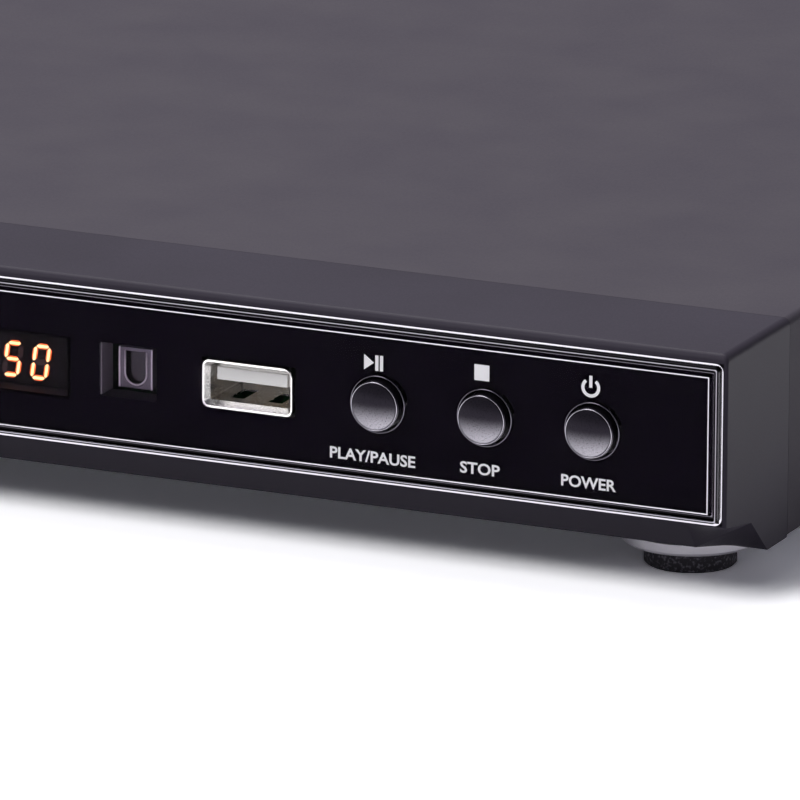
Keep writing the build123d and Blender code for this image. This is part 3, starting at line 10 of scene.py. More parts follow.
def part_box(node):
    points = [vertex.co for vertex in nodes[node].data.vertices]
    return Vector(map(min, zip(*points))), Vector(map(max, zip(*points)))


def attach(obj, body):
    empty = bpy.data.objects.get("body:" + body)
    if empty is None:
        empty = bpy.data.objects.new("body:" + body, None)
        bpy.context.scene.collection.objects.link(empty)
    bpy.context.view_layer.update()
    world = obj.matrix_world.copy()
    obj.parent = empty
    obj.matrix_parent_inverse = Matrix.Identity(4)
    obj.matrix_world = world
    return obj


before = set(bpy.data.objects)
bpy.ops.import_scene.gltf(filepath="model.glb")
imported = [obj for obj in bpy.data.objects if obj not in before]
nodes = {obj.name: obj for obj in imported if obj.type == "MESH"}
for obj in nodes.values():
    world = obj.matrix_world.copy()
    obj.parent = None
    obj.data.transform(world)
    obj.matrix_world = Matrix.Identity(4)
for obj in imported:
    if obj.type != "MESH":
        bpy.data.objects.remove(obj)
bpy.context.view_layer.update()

MM = 0.001

# ------------------------------------------------------------ places on the player, in mm
FRONT = -105.85  # the panel's face
REAR = FRONT + 205.0  # the rear panel's outer face
TOP = 37.6
LENS_BACK = FRONT + 1.6
PANEL_MIDDLE = 24.4
TRIM_HALF_WIDTH = 154.45
TRIM_HALF_HEIGHT = 11.9
BUTTON_X = {"power": 134.7, "stop": 118.0, "play": 101.3, "open": 7.5}
HOLE_RADIUS = 4.15
REAR_SCREW_X = (-140.0, 5.0, 140.0)
REAR_SCREW_Z = TOP - 5.6
SCREW_HEAD = 1.8
CAP_FACE = FRONT - 1.8  # the crown of a button's dome
DOME = 0.55  # how far the dome rises
DOME_HALF = 3.35  # its radius
BUTTON_Z = 24.4
# The black film: how far inside the panel's back face it lies, half its thickness, how far
# outside each hole it stops, and its outline and openings, across and up.
FILM_DEPTH = 0.05
FILM_HALF = 0.01
FILM_EDGE = 0.05
FILM = ((-152.6, 152.6), (14.3, 34.5))
FILM_OPENINGS = (
    ((-138.45, -1.55), (17.15, 31.65)),  # the tray's door
    ((18.0, 52.0), (19.0, 28.4)),  # the display
    ((56.6, 65.8), (20.2, 28.2)),  # the receiver
    ((72.9, 87.9), (20.3, 28.0)),  # the port
)


# ------------------------------------------------------------ camera at the photograph's angle
IMAGE_PX = 800.0
SENSOR_MM = 36.0


def place_camera():
    """Looks at the right front corner, turned to the left and tilted down."""
    turn, tilt, roll = radians(24.2), radians(15.4), 0.006
    focal_px, px_per_mm = 13200.0, 7.0
    aim = Vector((104.357, -104.75, 25.186)) * MM
    look = Vector((-sin(turn) * cos(tilt), cos(turn) * cos(tilt), -sin(tilt)))
    right = Vector((cos(turn), sin(turn), 0.0))
    up = right.cross(look)
    right_rolled = cos(roll) * right + sin(roll) * up
    up_rolled = cos(roll) * up - sin(roll) * right
    spot = aim - look * (focal_px / px_per_mm * MM)
    data = bpy.data.cameras.new("camera")
    data.sensor_width = SENSOR_MM
    data.lens = SENSOR_MM * focal_px / IMAGE_PX
    data.clip_start = 0.05
    data.clip_end = 20.0
    camera = bpy.data.objects.new("camera", data)
    bpy.context.scene.collection.objects.link(camera)
    turned = Matrix((right_rolled, up_rolled, -look)).transposed().to_4x4()
    camera.matrix_world = Matrix.Translation(spot) @ turned
    bpy.context.scene.camera = camera


place_camera()


# ------------------------------------------------------------ material helpers
def linear(code, alpha=1.0):
    """An sRGB hex colour as linear values."""
    parts = [int(code[i : i + 2], 16) / 255.0 for i in (1, 3, 5)]
    curve = [c / 12.92 if c <= 0.04045 else ((c + 0.055) / 1.055) ** 2.4 for c in parts]
    return (*curve, alpha)


def new_material(name):
    material = bpy.data.materials.new(name)
    material.use_nodes = True
    tree = material.node_tree
    return material, tree, tree.nodes["Principled BSDF"]


NOISE_RANGE = {"From Min": 0.3, "From Max": 0.7}  # where noise values lie
MIX_A, MIX_B, MIX_OUT = 6, 7, 2  # colour sockets of a mix node


def add(tree, kind, settings=None, inputs=None, links=None):
    """Adds a node, sets its properties and sockets, and links (socket, from node, output)."""
    node = tree.nodes.new(kind)
    for key, value in (settings or {}).items():
        setattr(node, key, value)
    for key, value in (inputs or {}).items():
        node.inputs[key].default_value = value
    for key, source, output in links or ():
        tree.links.new(source.outputs[output], node.inputs[key])
    return node


def surface(
    name, dark, light, rough, grain_mm, relief_mm=0.0, metal=0.0, stretch=(1, 1, 1),
    drift_mm=30.0, specular=0.5, coat=0.0,
):
    """A finish with a slow drift of colour, a grain in its roughness and a fine relief."""
    material, tree, shader = new_material(name)
    spot = add(tree, "ShaderNodeTexCoord")
    where = add(tree, "ShaderNodeMapping", {}, {"Scale": stretch}, [("Vector", spot, "Object")])
    clouds = {"Scale": 1.0 / (drift_mm * MM), "Detail": 2.0}
    drift = add(tree, "ShaderNodeTexNoise", {}, clouds, [("Vector", where, "Vector")])
    grains = {"Scale": 1.0 / (grain_mm * MM), "Detail": 2.0}
    grain = add(tree, "ShaderNodeTexNoise", {}, grains, [("Vector", where, "Vector")])
    spread = add(tree, "ShaderNodeMapRange", {}, NOISE_RANGE, [("Value", drift, "Fac")])
    tones = {MIX_A: linear(dark), MIX_B: linear(light)}
    tone = add(tree, "ShaderNodeMix", {"data_type": "RGBA"}, tones, [(0, spread, "Result")])
    tree.links.new(tone.outputs[MIX_OUT], shader.inputs["Base Color"])
    limits = {**NOISE_RANGE, "To Min": rough[0], "To Max": rough[1]}
    gloss = add(tree, "ShaderNodeMapRange", {}, limits, [("Value", grain, "Fac")])
    tree.links.new(gloss.outputs["Result"], shader.inputs["Roughness"])
    shader.inputs["Metallic"].default_value = metal
    shader.inputs["Specular IOR Level"].default_value = specular
    shader.inputs["Coat Weight"].default_value = coat
    shader.inputs["Coat Roughness"].default_value = 0.05
    if relief_mm:
        height = {"Distance": relief_mm * MM}
        relief = add(tree, "ShaderNodeBump", {}, height, [("Height", grain, "Fac")])
        tree.links.new(relief.outputs["Normal"], shader.inputs["Normal"])
    return material


# ------------------------------------------------------------ the finishes
# Moulded ABS, fine-sparked tool: an even dark grey with a soft sheen.
abs_sparked = surface(
    "abs_spark_eroded", "#37333c", "#3c3842", (0.34, 0.44), 0.25, 0.004, specular=0.03
)
# Textured polyester powder paint on steel sheet: fine orange peel, low sheen.
powder_paint = surface(
    "powder_paint_on_steel", "#46424a", "#4a464d", (0.38, 0.48), 0.35, 0.006,
    drift_mm=14.0, specular=0.02,
)
# Gloss black trim; the thin bright lines on it are painted highlights of the light on its ridges.
trim_with_painted_highlights = surface("gloss_black_trim_painted_highlights", "#2b292e", "#322f35", (0.08, 0.14), 0.5, 0.0, 1.0)
# Bright metal hairline on each cap's chamfer: a painted highlight where the edge catches the light.
cap_edge_painted_highlight = surface(
    "cap_edge_painted_highlight_line", "#8a8790", "#97949c", (0.10, 0.16), 0.3, 0.0, 1.0
)
# Bright metal hairline round the panel's edge: a painted highlight of the light on its bevel.
bevel_painted_highlight = surface(
    "panel_bevel_painted_highlight", "#b3b0b7", "#c3c0c7", (0.15, 0.25), 0.4, 0.0, 0.8
)
# Dim metal hairline round the holes in the panel: a painted highlight of gloss on the holes' rims.
hole_rim_painted_highlight = surface(
    "hole_rim_painted_highlight_line", "#5d5a62", "#68656d", (0.06, 0.12), 0.4, 0.0, 1.0
)
# Nickel-plated deep-drawn steel of the sockets: bright, with fine draw lines.
nickel_steel = surface(
    "nickel_plated_steel", "#d6d4d2", "#e4e2e0", (0.18, 0.30), 0.2, 0.003, 1.0, (1, 0.2, 1)
)
# Tin-plated can of the receiver: a soft grey, half hidden by the smoked panel.
tinned_can = surface("tin_plated_can", "#6f6c70", "#7d7a7e", (0.30, 0.44), 0.3, 0.004, 0.4)
# Near-white lines on the can's edges: painted highlights of the light they catch.
can_edge_painted_highlight = surface("can_edge_painted_highlight_line", "#f0ede9", "#f8f6f3", (0.30, 0.40), 0.3, 0.0, 0.2)
# Grey moulded ABS of the wall beside the receiver.
grey_abs = surface("grey_moulded_abs", "#827e82", "#8c888c", (0.40, 0.50), 0.3, 0.003)
# Matt black ABS behind the display's diffuser: it swallows stray light.
matt_face = surface("matt_black_display_face", "#141216", "#19161b", (0.6, 0.7), 0.3, specular=0.1)
# Moulded nylon, white in the port and black elsewhere: slightly waxy.
white_nylon = surface("white_moulded_nylon", "#e9e8e6", "#f1f0ee", (0.35, 0.5), 0.4, 0.004)
black_nylon = surface("black_moulded_nylon", "#19181b", "#201f23", (0.38, 0.52), 0.4, 0.006)
# Acetal gears and cam: milky, smooth.
acetal = surface("natural_acetal", "#e2dfd2", "#ebe8dc", (0.28, 0.4), 0.5, 0.003)
# Moulded black styrene of the loader, deck and tray: a satin charcoal.
black_styrene = surface("black_moulded_styrene", "#1e1d21", "#29282d", (0.35, 0.5), 0.35, 0.008)
# Gold flash over nickel on the contacts: a warm glint.
gold_flash = surface("gold_flashed_contact", "#d9b25a", "#e4c170", (0.18, 0.28), 0.3, 0.0, 1.0)
# Hot-dip galvanised sheet with a soft spangle.
galvanised = surface(
    "galvanised_sheet_steel", "#a9aaae", "#bcbdc1", (0.34, 0.46), 0.8, 0.002, 1.0, drift_mm=2.2
)
# Pressed bright steel of the plate and the bridge: rolling lines along its length.
pressed_steel = surface(
    "pressed_bright_steel", "#a9aaae", "#babbc0", (0.22, 0.38), 0.25, 0.003, 1.0, (1, 0.1, 1)
)
# Centreless-ground rods and lead screw: a clean sharp shine.
ground_rod = surface(
    "centreless_ground_steel", "#c6c7ca", "#d2d3d6", (0.12, 0.2), 0.15, 0.001, 1.0, (1, 0.05, 1)
)
# Zinc-plated machine screws: pale and a little dull.
zinc_screw = surface("zinc_plated_screw", "#b3b5b8", "#c6c8cb", (0.22, 0.34), 0.2, 0.002, 1.0)
# Black-oxide screws of the cover: dark, with a faint metal sheen.
black_screw = surface("black_oxide_screw", "#47474b", "#55555a", (0.3, 0.42), 0.2, 0.002, 0.8)
# Deep-drawn motor cans: brushed by the die.
drawn_can = surface("drawn_motor_can", "#a2a4a8", "#b4b6ba", (0.2, 0.34), 0.3, 0.002, 1.0)
# Silver-sprayed ABS of the feet: fine flakes, pale in the shade.
sprayed_silver = surface(
    "sprayed_silver_abs", "#e6e2ea", "#eeeaf2", (0.34, 0.46), 0.12, 0.003, 0.25
)
# Moulded neoprene belt: matt black.
rubber_belt = surface("moulded_neoprene", "#1a1a1b", "#232324", (0.6, 0.75), 0.3, 0.004)
# Soft butyl dampers: brick red and matt.
damper_rubber = surface("soft_butyl_rubber", "#5f3732", "#6d423c", (0.55, 0.7), 0.4, 0.004)
# Extruded aluminium of the sink: die lines along the fins.
extruded_aluminium = surface(
    "extruded_aluminium", "#b4b6b9", "#c3c5c8", (0.28, 0.42), 0.25, 0.004, 1.0, (1, 0.1, 1)
)
# Moulded epoxy of the chip: stony black.
epoxy_package = surface("black_epoxy_package", "#141416", "#1d1d20", (0.4, 0.55), 0.15, 0.004)
# PVC sleeves of the capacitors: dark blue with a plastic shine.
shrink_sleeve = surface("printed_pvc_sleeve", "#1b2029", "#232a35", (0.22, 0.32), 0.6, 0.002)
# Sintered ferrite: dull and grainy.
sintered_ferrite = surface("sintered_ferrite", "#2b2b2d", "#373739", (0.45, 0.6), 0.3, 0.01)
# Polyester tape round the winding: glossy yellow.
polyester_tape = surface("yellow_polyester_tape", "#d5ac2c", "#e0bb45", (0.2, 0.3), 0.8, 0.004)
# Phenolic paper board of the supply: toffee brown.
phenolic_board = surface("phenolic_paper_board", "#87632f", "#977140", (0.4, 0.52), 0.6, 0.003)
# Flat flexible cable: white, with its conductors drawn as lines along it.
flat_cable = surface(
    "flat_flexible_cable", "#d7d8d6", "#e2e3e1", (0.3, 0.42), 0.8, 0.002, 0.0, (8, 0.2, 1)
)
# Dark epoxy of the receiver: near black and smooth.
soft_epoxy = surface("dark_lens_epoxy", "#181015", "#22171e", (0.08, 0.14), 0.5)
# Gloss black ABS of the door, tooled to a mirror to match the panel beside it.
gloss_door = surface("high_gloss_black_abs", "#0f0a13", "#130e17", (0.05, 0.09), 1.0, specular=0.04)


def smoked_acrylic():
    """Cast PMMA, smoked and anti-glare coated: it passes light and shows hardly any floor."""
    material, tree, shader = new_material("smoked_cast_acrylic")
    shader.inputs["Base Color"].default_value = linear("#c8c1cd")
    shader.inputs["Specular IOR Level"].default_value = 0.02
    shader.inputs["IOR"].default_value = 1.08  # PMMA has 1.49; the coat takes most of its glare
    shader.inputs["Transmission Weight"].default_value = 1.0
    spot = add(tree, "ShaderNodeTexCoord")
    sheet = {"Scale": 1.0 / (12.0 * MM), "Detail": 2.0}
    haze = add(tree, "ShaderNodeTexNoise", {}, sheet, [("Vector", spot, "Object")])
    limits = {**NOISE_RANGE, "To Min": 0.012, "To Max": 0.03}
    gloss = add(tree, "ShaderNodeMapRange", {}, limits, [("Value", haze, "Fac")])
    tree.links.new(gloss.outputs["Result"], shader.inputs["Roughness"])
    return material


def glowing(name, dim, bright, strength):
    """A lit segment: the diffuser spreads the diode's light a little unevenly."""
    material, tree, shader = new_material(name)
    shader.inputs["Base Color"].default_value = linear("#1a0a04")
    shader.inputs["Roughness"].default_value = 0.4
    spot = add(tree, "ShaderNodeTexCoord")
    spread = {"Scale": 1.0 / (1.4 * MM), "Detail": 2.0}
    drift = add(tree, "ShaderNodeTexNoise", {}, spread, [("Vector", spot, "Object")])
    tones = {MIX_A: linear(dim), MIX_B: linear(bright)}
    glow = add(tree, "ShaderNodeMix", {"data_type": "RGBA"}, tones, [(0, drift, "Fac")])
    tree.links.new(glow.outputs[MIX_OUT], shader.inputs["Emission Color"])
    shader.inputs["Emission Strength"].default_value = strength
    return material


def cap_paint_with_painted_reflection():
    """Metallic lacquer on the caps, silver at the foot fading to black above: a painted reflection
    of the pale floor in the lower half of each dome.
    """
    material, tree, shader = new_material("metallic_cap_lacquer_painted_reflection")
    spot = add(tree, "ShaderNodeTexCoord")
    flakes = {"Scale": 1.0 / (0.16 * MM), "Detail": 2.0}
    speckle = add(tree, "ShaderNodeTexNoise", {}, flakes, [("Vector", spot, "Object")])
    axes = add(tree, "ShaderNodeSeparateXYZ", {}, {}, [("Vector", spot, "Object")])
    # Painted reflection: dark at the top of each cap, silver towards its foot.
    painted_reflection_span = {"From Min": (BUTTON_Z + 0.6) * MM, "From Max": (BUTTON_Z - 3.7) * MM}
    soft = {"interpolation_type": "SMOOTHSTEP"}
    height = add(tree, "ShaderNodeMapRange", soft, painted_reflection_span, [("Value", axes, "Z")])
    tones = {MIX_A: linear("#211e25"), MIX_B: linear("#a09da5")}
    tint = add(tree, "ShaderNodeMix", {"data_type": "RGBA"}, tones, [(0, height, "Result")])
    tree.links.new(tint.outputs[MIX_OUT], shader.inputs["Base Color"])
    limits = {**NOISE_RANGE, "To Min": 0.24, "To Max": 0.36}
    gloss = add(tree, "ShaderNodeMapRange", {}, limits, [("Value", speckle, "Fac")])
    tree.links.new(gloss.outputs["Result"], shader.inputs["Roughness"])
    shader.inputs["Metallic"].default_value = 0.7
    shader.inputs["Specular IOR Level"].default_value = 0.1
    return material


def speckled_foam():
    """Die-cut EVA foam of the foot pad: charcoal with pale specks about 0.3 mm across."""
    material, tree, shader = new_material("speckled_eva_foam")
    spot = add(tree, "ShaderNodeTexCoord")
    crumbs = {"Scale": 1.0 / (0.45 * MM), "Detail": 1.0}
    specks = add(tree, "ShaderNodeTexNoise", {}, crumbs, [("Vector", spot, "Object")])
    spread = {"From Min": 0.52, "From Max": 0.72}
    share = add(tree, "ShaderNodeMapRange", {}, spread, [("Value", specks, "Fac")])
    tones = {MIX_A: linear("#2f2c32"), MIX_B: linear("#7b7780")}
    tint = add(tree, "ShaderNodeMix", {"data_type": "RGBA"}, tones, [(0, share, "Result")])
    tree.links.new(tint.outputs[MIX_OUT], shader.inputs["Base Color"])
    shader.inputs["Roughness"].default_value = 0.8
    pits = add(tree, "ShaderNodeBump", {}, {"Distance": 0.05 * MM}, [("Height", specks, "Fac")])
    tree.links.new(pits.outputs["Normal"], shader.inputs["Normal"])
    return material


def circuit_board(name, mask_dark, mask_light):
    """Solder-masked glass-epoxy with tracks about 0.4 mm wide under the mask."""
    material, tree, shader = new_material(name)
    spot = add(tree, "ShaderNodeTexCoord")
    runs = {"Scale": 1.0 / (3.0 * MM)}
    walls = {"feature": "DISTANCE_TO_EDGE"}
    cells = add(tree, "ShaderNodeTexVoronoi", walls, runs, [("Vector", spot, "Object")])
    edge = {"From Min": 0.05, "From Max": 0.09}
    share = add(tree, "ShaderNodeMapRange", {}, edge, [("Value", cells, "Distance")])
    tones = {MIX_A: linear(mask_light), MIX_B: linear(mask_dark)}
    tracks = add(tree, "ShaderNodeMix", {"data_type": "RGBA"}, tones, [(0, share, "Result")])
    tree.links.new(tracks.outputs[MIX_OUT], shader.inputs["Base Color"])
    shader.inputs["Roughness"].default_value = 0.3
    relief = {"Strength": 0.4, "Distance": 0.03 * MM}
    copper = add(tree, "ShaderNodeBump", {}, relief, [("Height", cells, "Distance")])
    tree.links.new(copper.outputs["Normal"], shader.inputs["Normal"])
    return material


def coded_inserts():
    """Moulded nylon in the usual colour code: yellow, red and white; orange for digital sound."""
    material, tree, shader = new_material("coloured_moulded_nylon")
    low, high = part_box("jack_inserts")
    middle_x, middle_z = (low[0] + high[0]) / 2, (low[2] + high[2]) / 2
    spot = add(tree, "ShaderNodeTexCoord")
    axes = add(tree, "ShaderNodeSeparateXYZ", {}, {}, [("Vector", spot, "Object")])
    beyond = {"operation": "GREATER_THAN"}
    right = add(tree, "ShaderNodeMath", beyond, {1: middle_x}, [(0, axes, "X")])
    upper = add(tree, "ShaderNodeMath", beyond, {1: middle_z}, [(0, axes, "Z")])
    rows = []
    for left_code, right_code in (("#e8e6e2", "#c2231f"), ("#e0701c", "#e3b81f")):
        tones = {MIX_A: linear(left_code), MIX_B: linear(right_code)}
        rows.append(add(tree, "ShaderNodeMix", {"data_type": "RGBA"}, tones, [(0, right, "Value")]))
    links = [(0, upper, "Value"), (MIX_A, rows[0], MIX_OUT), (MIX_B, rows[1], MIX_OUT)]
    tint = add(tree, "ShaderNodeMix", {"data_type": "RGBA"}, {}, links)
    tree.links.new(tint.outputs[MIX_OUT], shader.inputs["Base Color"])
    shader.inputs["Roughness"].default_value = 0.4
    return material


acrylic = smoked_acrylic()
painted_reflection_cap_paint = cap_paint_with_painted_reflection()
foam = speckled_foam()
jack_colours = coded_inserts()
green_board = circuit_board("solder_masked_glass_epoxy", "#17402a", "#2a5e3c")
# Diodes behind a diffuser: a cream core that falls off to orange at its edge; the unlit
# ones are brown.
lit_core = glowing("lit_segment_core", "#ffbe6e", "#ffd79a", 4.5)
lit_edge = glowing("lit_segment_edge", "#e8501c", "#f26a2a", 3.2)
unlit_segment = surface("unlit_segment", "#3a1c14", "#44221a", (0.4, 0.5), 0.5)
# Screen ink on the panel's back: a violet-black with no shine.
black_print = surface("black_screen_ink", "#0b0710", "#0e0a13", (0.5, 0.6), 0.3, specular=0.0)
# Dark bars in a screw's cross recess: painted shade, where no light comes back out of it.
painted_recess_shade = surface("screw_recess_painted_shade", "#0c0c0d", "#121213", (0.6, 0.7), 0.3, specular=0.1)
# Screen ink on the panel's face: plain white.
white_ink = surface("white_screen_ink", "#f6f5f8", "#fdfcfe", (0.4, 0.5), 0.3)
# Coated glass of the pickup lens: a blue glint.
coated_glass = surface("coated_objective_glass", "#5f8fb8", "#86a9cc", (0.03, 0.06), 2.0)

FINISHES = {
    "front_bezel": abs_sparked, "trim_frame": trim_with_painted_highlights, "front_lens": acrylic,
    "power_button": painted_reflection_cap_paint, "stop_button": painted_reflection_cap_paint, "play_button": painted_reflection_cap_paint,
    "open_button": painted_reflection_cap_paint, "control_board": green_board, "button_switches": black_nylon,
    "display_module": matt_face, "receiver_shield": tinned_can, "receiver_sensor": soft_epoxy,
    "port_shell": nickel_steel, "port_tongue": white_nylon, "port_contacts": gold_flash,
    "bottom_chassis": galvanised, "top_cover": powder_paint, "cover_screws": black_screw,
    "foot_discs": sprayed_silver, "foot_pads": foam, "main_board": green_board,
    "power_board": phenolic_board, "board_screws": zinc_screw, "decoder_chip": epoxy_package,
    "heat_sink": extruded_aluminium, "capacitors": shrink_sleeve,
    "transformer_core": sintered_ferrite, "transformer_winding": polyester_tape,
    "front_ribbon": flat_cable, "jack_block": black_nylon, "jack_sleeves": nickel_steel,
    "jack_inserts": jack_colours, "hdmi_shell": nickel_steel, "hdmi_tongue": black_nylon,
    "mains_inlet": black_nylon, "inlet_pins": nickel_steel, "loader_frame": black_styrene,
    "loader_screws": zinc_screw, "loading_motor": drawn_can, "motor_pulley": acetal,
    "pulley_gear": acetal, "drive_gear": acetal, "drive_belt": rubber_belt,
    "cam_slider": acetal, "deck_ring": black_styrene, "deck_dampers": damper_rubber,
    "deck_screws": zinc_screw, "traverse_plate": pressed_steel, "guide_rods": ground_rod,
    "spindle_motor": drawn_can, "turntable": black_nylon, "pickup_body": black_styrene,
    "pickup_lens": coated_glass, "sled_motor": drawn_can, "lead_screw": ground_rod,
    "clamp_bridge": pressed_steel, "clamper": acetal, "clamper_cap": acetal,
    "disc_tray": black_styrene, "tray_door": gloss_door,
}
for node_name, finish in FINISHES.items():
    mesh = nodes[node_name].data
    mesh.materials.clear()
    mesh.materials.append(finish)


def paint_trim_highlights():
    """Bright lines painted on the gloss black trim's ridges, brightest at the outer edge: painted
    highlights.
    """
    tree = trim_with_painted_highlights.node_tree
    shader = tree.nodes["Principled BSDF"]
    spot = add(tree, "ShaderNodeTexCoord")
    axes = add(tree, "ShaderNodeSeparateXYZ", links=[("Vector", spot, "Object")])
    insets = []
    less = {"operation": "SUBTRACT"}
    spans = (("X", 0.0, TRIM_HALF_WIDTH), ("Z", PANEL_MIDDLE, TRIM_HALF_HEIGHT))
    for axis, middle, reach in spans:
        off = add(tree, "ShaderNodeMath", less, {1: middle * MM}, [(0, axes, axis)])
        size = add(tree, "ShaderNodeMath", {"operation": "ABSOLUTE"}, {}, [(0, off, "Value")])
        insets.append(add(tree, "ShaderNodeMath", less, {0: reach * MM}, [(1, size, "Value")]))
    pair = [(0, insets[0], "Value"), (1, insets[1], "Value")]
    least = add(tree, "ShaderNodeMath", {"operation": "MINIMUM"}, {}, pair)
    times, per_two_mm = {"operation": "MULTIPLY"}, {1: 0.5 / MM}
    scaled = add(tree, "ShaderNodeMath", times, per_two_mm, [(0, least, "Value")])
    # Painted highlights: bright and grey lines with gloss black between, set by inset from the
    # trim's edge.
    lines = add(tree, "ShaderNodeValToRGB", {}, {}, [("Fac", scaled, "Value")])
    ramp = lines.color_ramp
    ramp.interpolation = "CONSTANT"
    stops = ((0.19, "#0d0c0e"), (0.33, "#86838b"), (0.44, "#0d0c0e"), (0.66, "#57545b"))
    ramp.elements.remove(ramp.elements[1])
    ramp.elements[0].color = linear("#b9b6bd")
    for place, code in stops:
        ramp.elements.new(place).color = linear(code)
    tree.links.new(lines.outputs["Color"], shader.inputs["Base Color"])


paint_trim_highlights()


# ------------------------------------------------------------ mesh helpers
def show(name, mesh, finish, body):
    """An object for a finished mesh: it rides on a body and takes its finish from a slot."""
    mesh.materials.clear()
    mesh.materials.append(finish)
    made = bpy.data.objects.new(name, mesh)
    bpy.context.scene.collection.objects.link(made)
    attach(made, body)


def piece(name, mesh_maker, finish, body, smooth=False):
    """A new piece whose shape is in its mesh, in metres."""
    shape = bmesh.new()
    mesh_maker(shape)
    bmesh.ops.recalc_face_normals(shape, faces=shape.faces)
    mesh = bpy.data.meshes.new(name)
    shape.to_mesh(mesh)
    shape.free()
    if smooth:
        for face in mesh.polygons:
            face.use_smooth = True
    show(name, mesh, finish, body)


def flat_mesh(curve):
    """The mesh of a flat curve or a word."""
    made = bpy.data.objects.new(curve.name, curve)
    bpy.context.scene.collection.objects.link(made)
    bpy.context.view_layer.update()
    depsgraph = bpy.context.evaluated_depsgraph_get()
    mesh = bpy.data.meshes.new_from_object(made.evaluated_get(depsgraph))
    bpy.data.objects.remove(made)
    return mesh


def thicken(shape, faces, depth):
    """Draws flat faces out towards the front, by a depth in mm."""
    lifted = bmesh.ops.extrude_face_region(shape, geom=faces)["geom"]
    moved = [v for v in lifted if isinstance(v, bmesh.types.BMVert)]
    bmesh.ops.translate(shape, verts=moved, vec=(0, -depth * MM, 0))


def fine_ring(x, z, front_y, radius, wire):
    """A hairline ring round a cap or a hole: a small section spun about the axis."""
    def make(shape):
        start = Matrix.Translation(Vector((x + radius, front_y, z)) * MM)
        circle = bmesh.ops.create_circle(shape, segments=6, radius=wire * MM, matrix=start)
        section = circle["verts"]
        edges = list({edge for vert in section for edge in vert.link_edges})
        bmesh.ops.spin(
            shape, geom=[*section, *edges], cent=Vector((x, front_y, z)) * MM, axis=(0, 1, 0),
            angle=2 * pi, steps=64, use_merge=True,
        )
    return make


# ------------------------------------------------------------ black printing on the panel's back
def panel_printing():
    """A film over the clear panel's back, open at the windows, the holes and the tray."""
    curve = bpy.data.curves.new("panel_printing", "CURVE")
    curve.dimensions = "2D"
    curve.fill_mode = "BOTH"
    curve.extrude = FILM_HALF

    def loop(points, kind):
        spline = curve.splines.new(kind)
        corners = spline.points if kind == "POLY" else spline.bezier_points
        corners.add(len(points) - 1)
        for corner, (x, z) in zip(corners, points):
            if kind == "POLY":
                corner.co = (x, z - PANEL_MIDDLE, 0.0, 1.0)
            else:
                corner.co = (x, z - PANEL_MIDDLE, 0.0)
                corner.handle_left_type = corner.handle_right_type = "AUTO"
        spline.use_cyclic_u = True

    def window(x, z):
        loop([(x[0], z[0]), (x[1], z[0]), (x[1], z[1]), (x[0], z[1])], "POLY")

    for across, up in (FILM, *FILM_OPENINGS):
        window(across, up)
    reach = HOLE_RADIUS + FILM_EDGE
    for x in BUTTON_X.values():
        z = BUTTON_Z
        loop([(x - reach, z), (x, z + reach), (x + reach, z), (x, z - reach)], "BEZIER")
    mesh = flat_mesh(curve)
    for v in mesh.vertices:
        v.co = Vector((v.co.x, LENS_BACK - FILM_DEPTH - v.co.z, v.co.y + PANEL_MIDDLE)) * MM
    show("panel_printing", mesh, black_print, "case")


panel_printing()

# ------------------------------------------------------------ printed words and symbols
INK = 0.03  # thickness of the printed film, mm
CAP_HEIGHT = 1.75
WORDS = (  # name, words, middle across, middle height, width
    ("word_power", "POWER", 134.3, 16.78, 8.5),
    ("word_stop", "STOP", 117.4, 16.8, 6.2),
    ("word_play", "PLAY/PAUSE", 100.6, 16.55, 13.4),
    ("word_open", "OPEN/CLOSE", 7.5, 16.8, 13.0),
)


def printed_word(name, words, middle_x, middle_z, width):
    """White screen-printed capitals on the panel's face, made a mesh."""
    curve = bpy.data.curves.new(name, "FONT")
    curve.body = words
    curve.align_x = "CENTER"
    curve.extrude = INK / 2
    curve.resolution_u = 3
    curve.offset = 0.022  # a bold stroke
    mesh = flat_mesh(curve)
    xs = [v.co.x for v in mesh.vertices]
    ys = [v.co.y for v in mesh.vertices]
    across = width / (max(xs) - min(xs))
    tall = CAP_HEIGHT / (max(ys) - min(ys))
    centre = ((max(xs) + min(xs)) / 2, (max(ys) + min(ys)) / 2)
    for v in mesh.vertices:
        x = middle_x + (v.co.x - centre[0]) * across
        z = middle_z + (v.co.y - centre[1]) * tall
        v.co = Vector((x, FRONT - INK / 2 - v.co.z, z)) * MM
    show(name, mesh, white_ink, "case")


for word in WORDS:
    printed_word(*word)


def ink_face(shape, corners):
    """A flat printed shape with a little thickness, from (x, z) corners in mm."""
    verts = [shape.verts.new(Vector((x, FRONT, z)) * MM) for x, z in corners]
    thicken(shape, [shape.faces.new(verts)], INK)


def ink_bar(shape, across, up):
    """A printed bar between (low, high) pairs."""
    (left, right), (low, high) = across, up
    ink_face(shape, [(left, low), (right, low), (right, high), (left, high)])


def play_symbol(shape):
    x, z, half = 100.7, 30.55, 1.15
    ink_face(shape, [(x - 1.5, z - half), (x + 0.05, z), (x - 1.5, z + half)])
    for left in (x + 0.25, x + 0.98):
        ink_bar(shape, (left, left + 0.5), (z - half, z + half))


def stop_symbol(shape):
    x, z, half = 117.6, 31.05, 1.17
    ink_bar(shape, (x - half, x + half), (z - half, z + half))


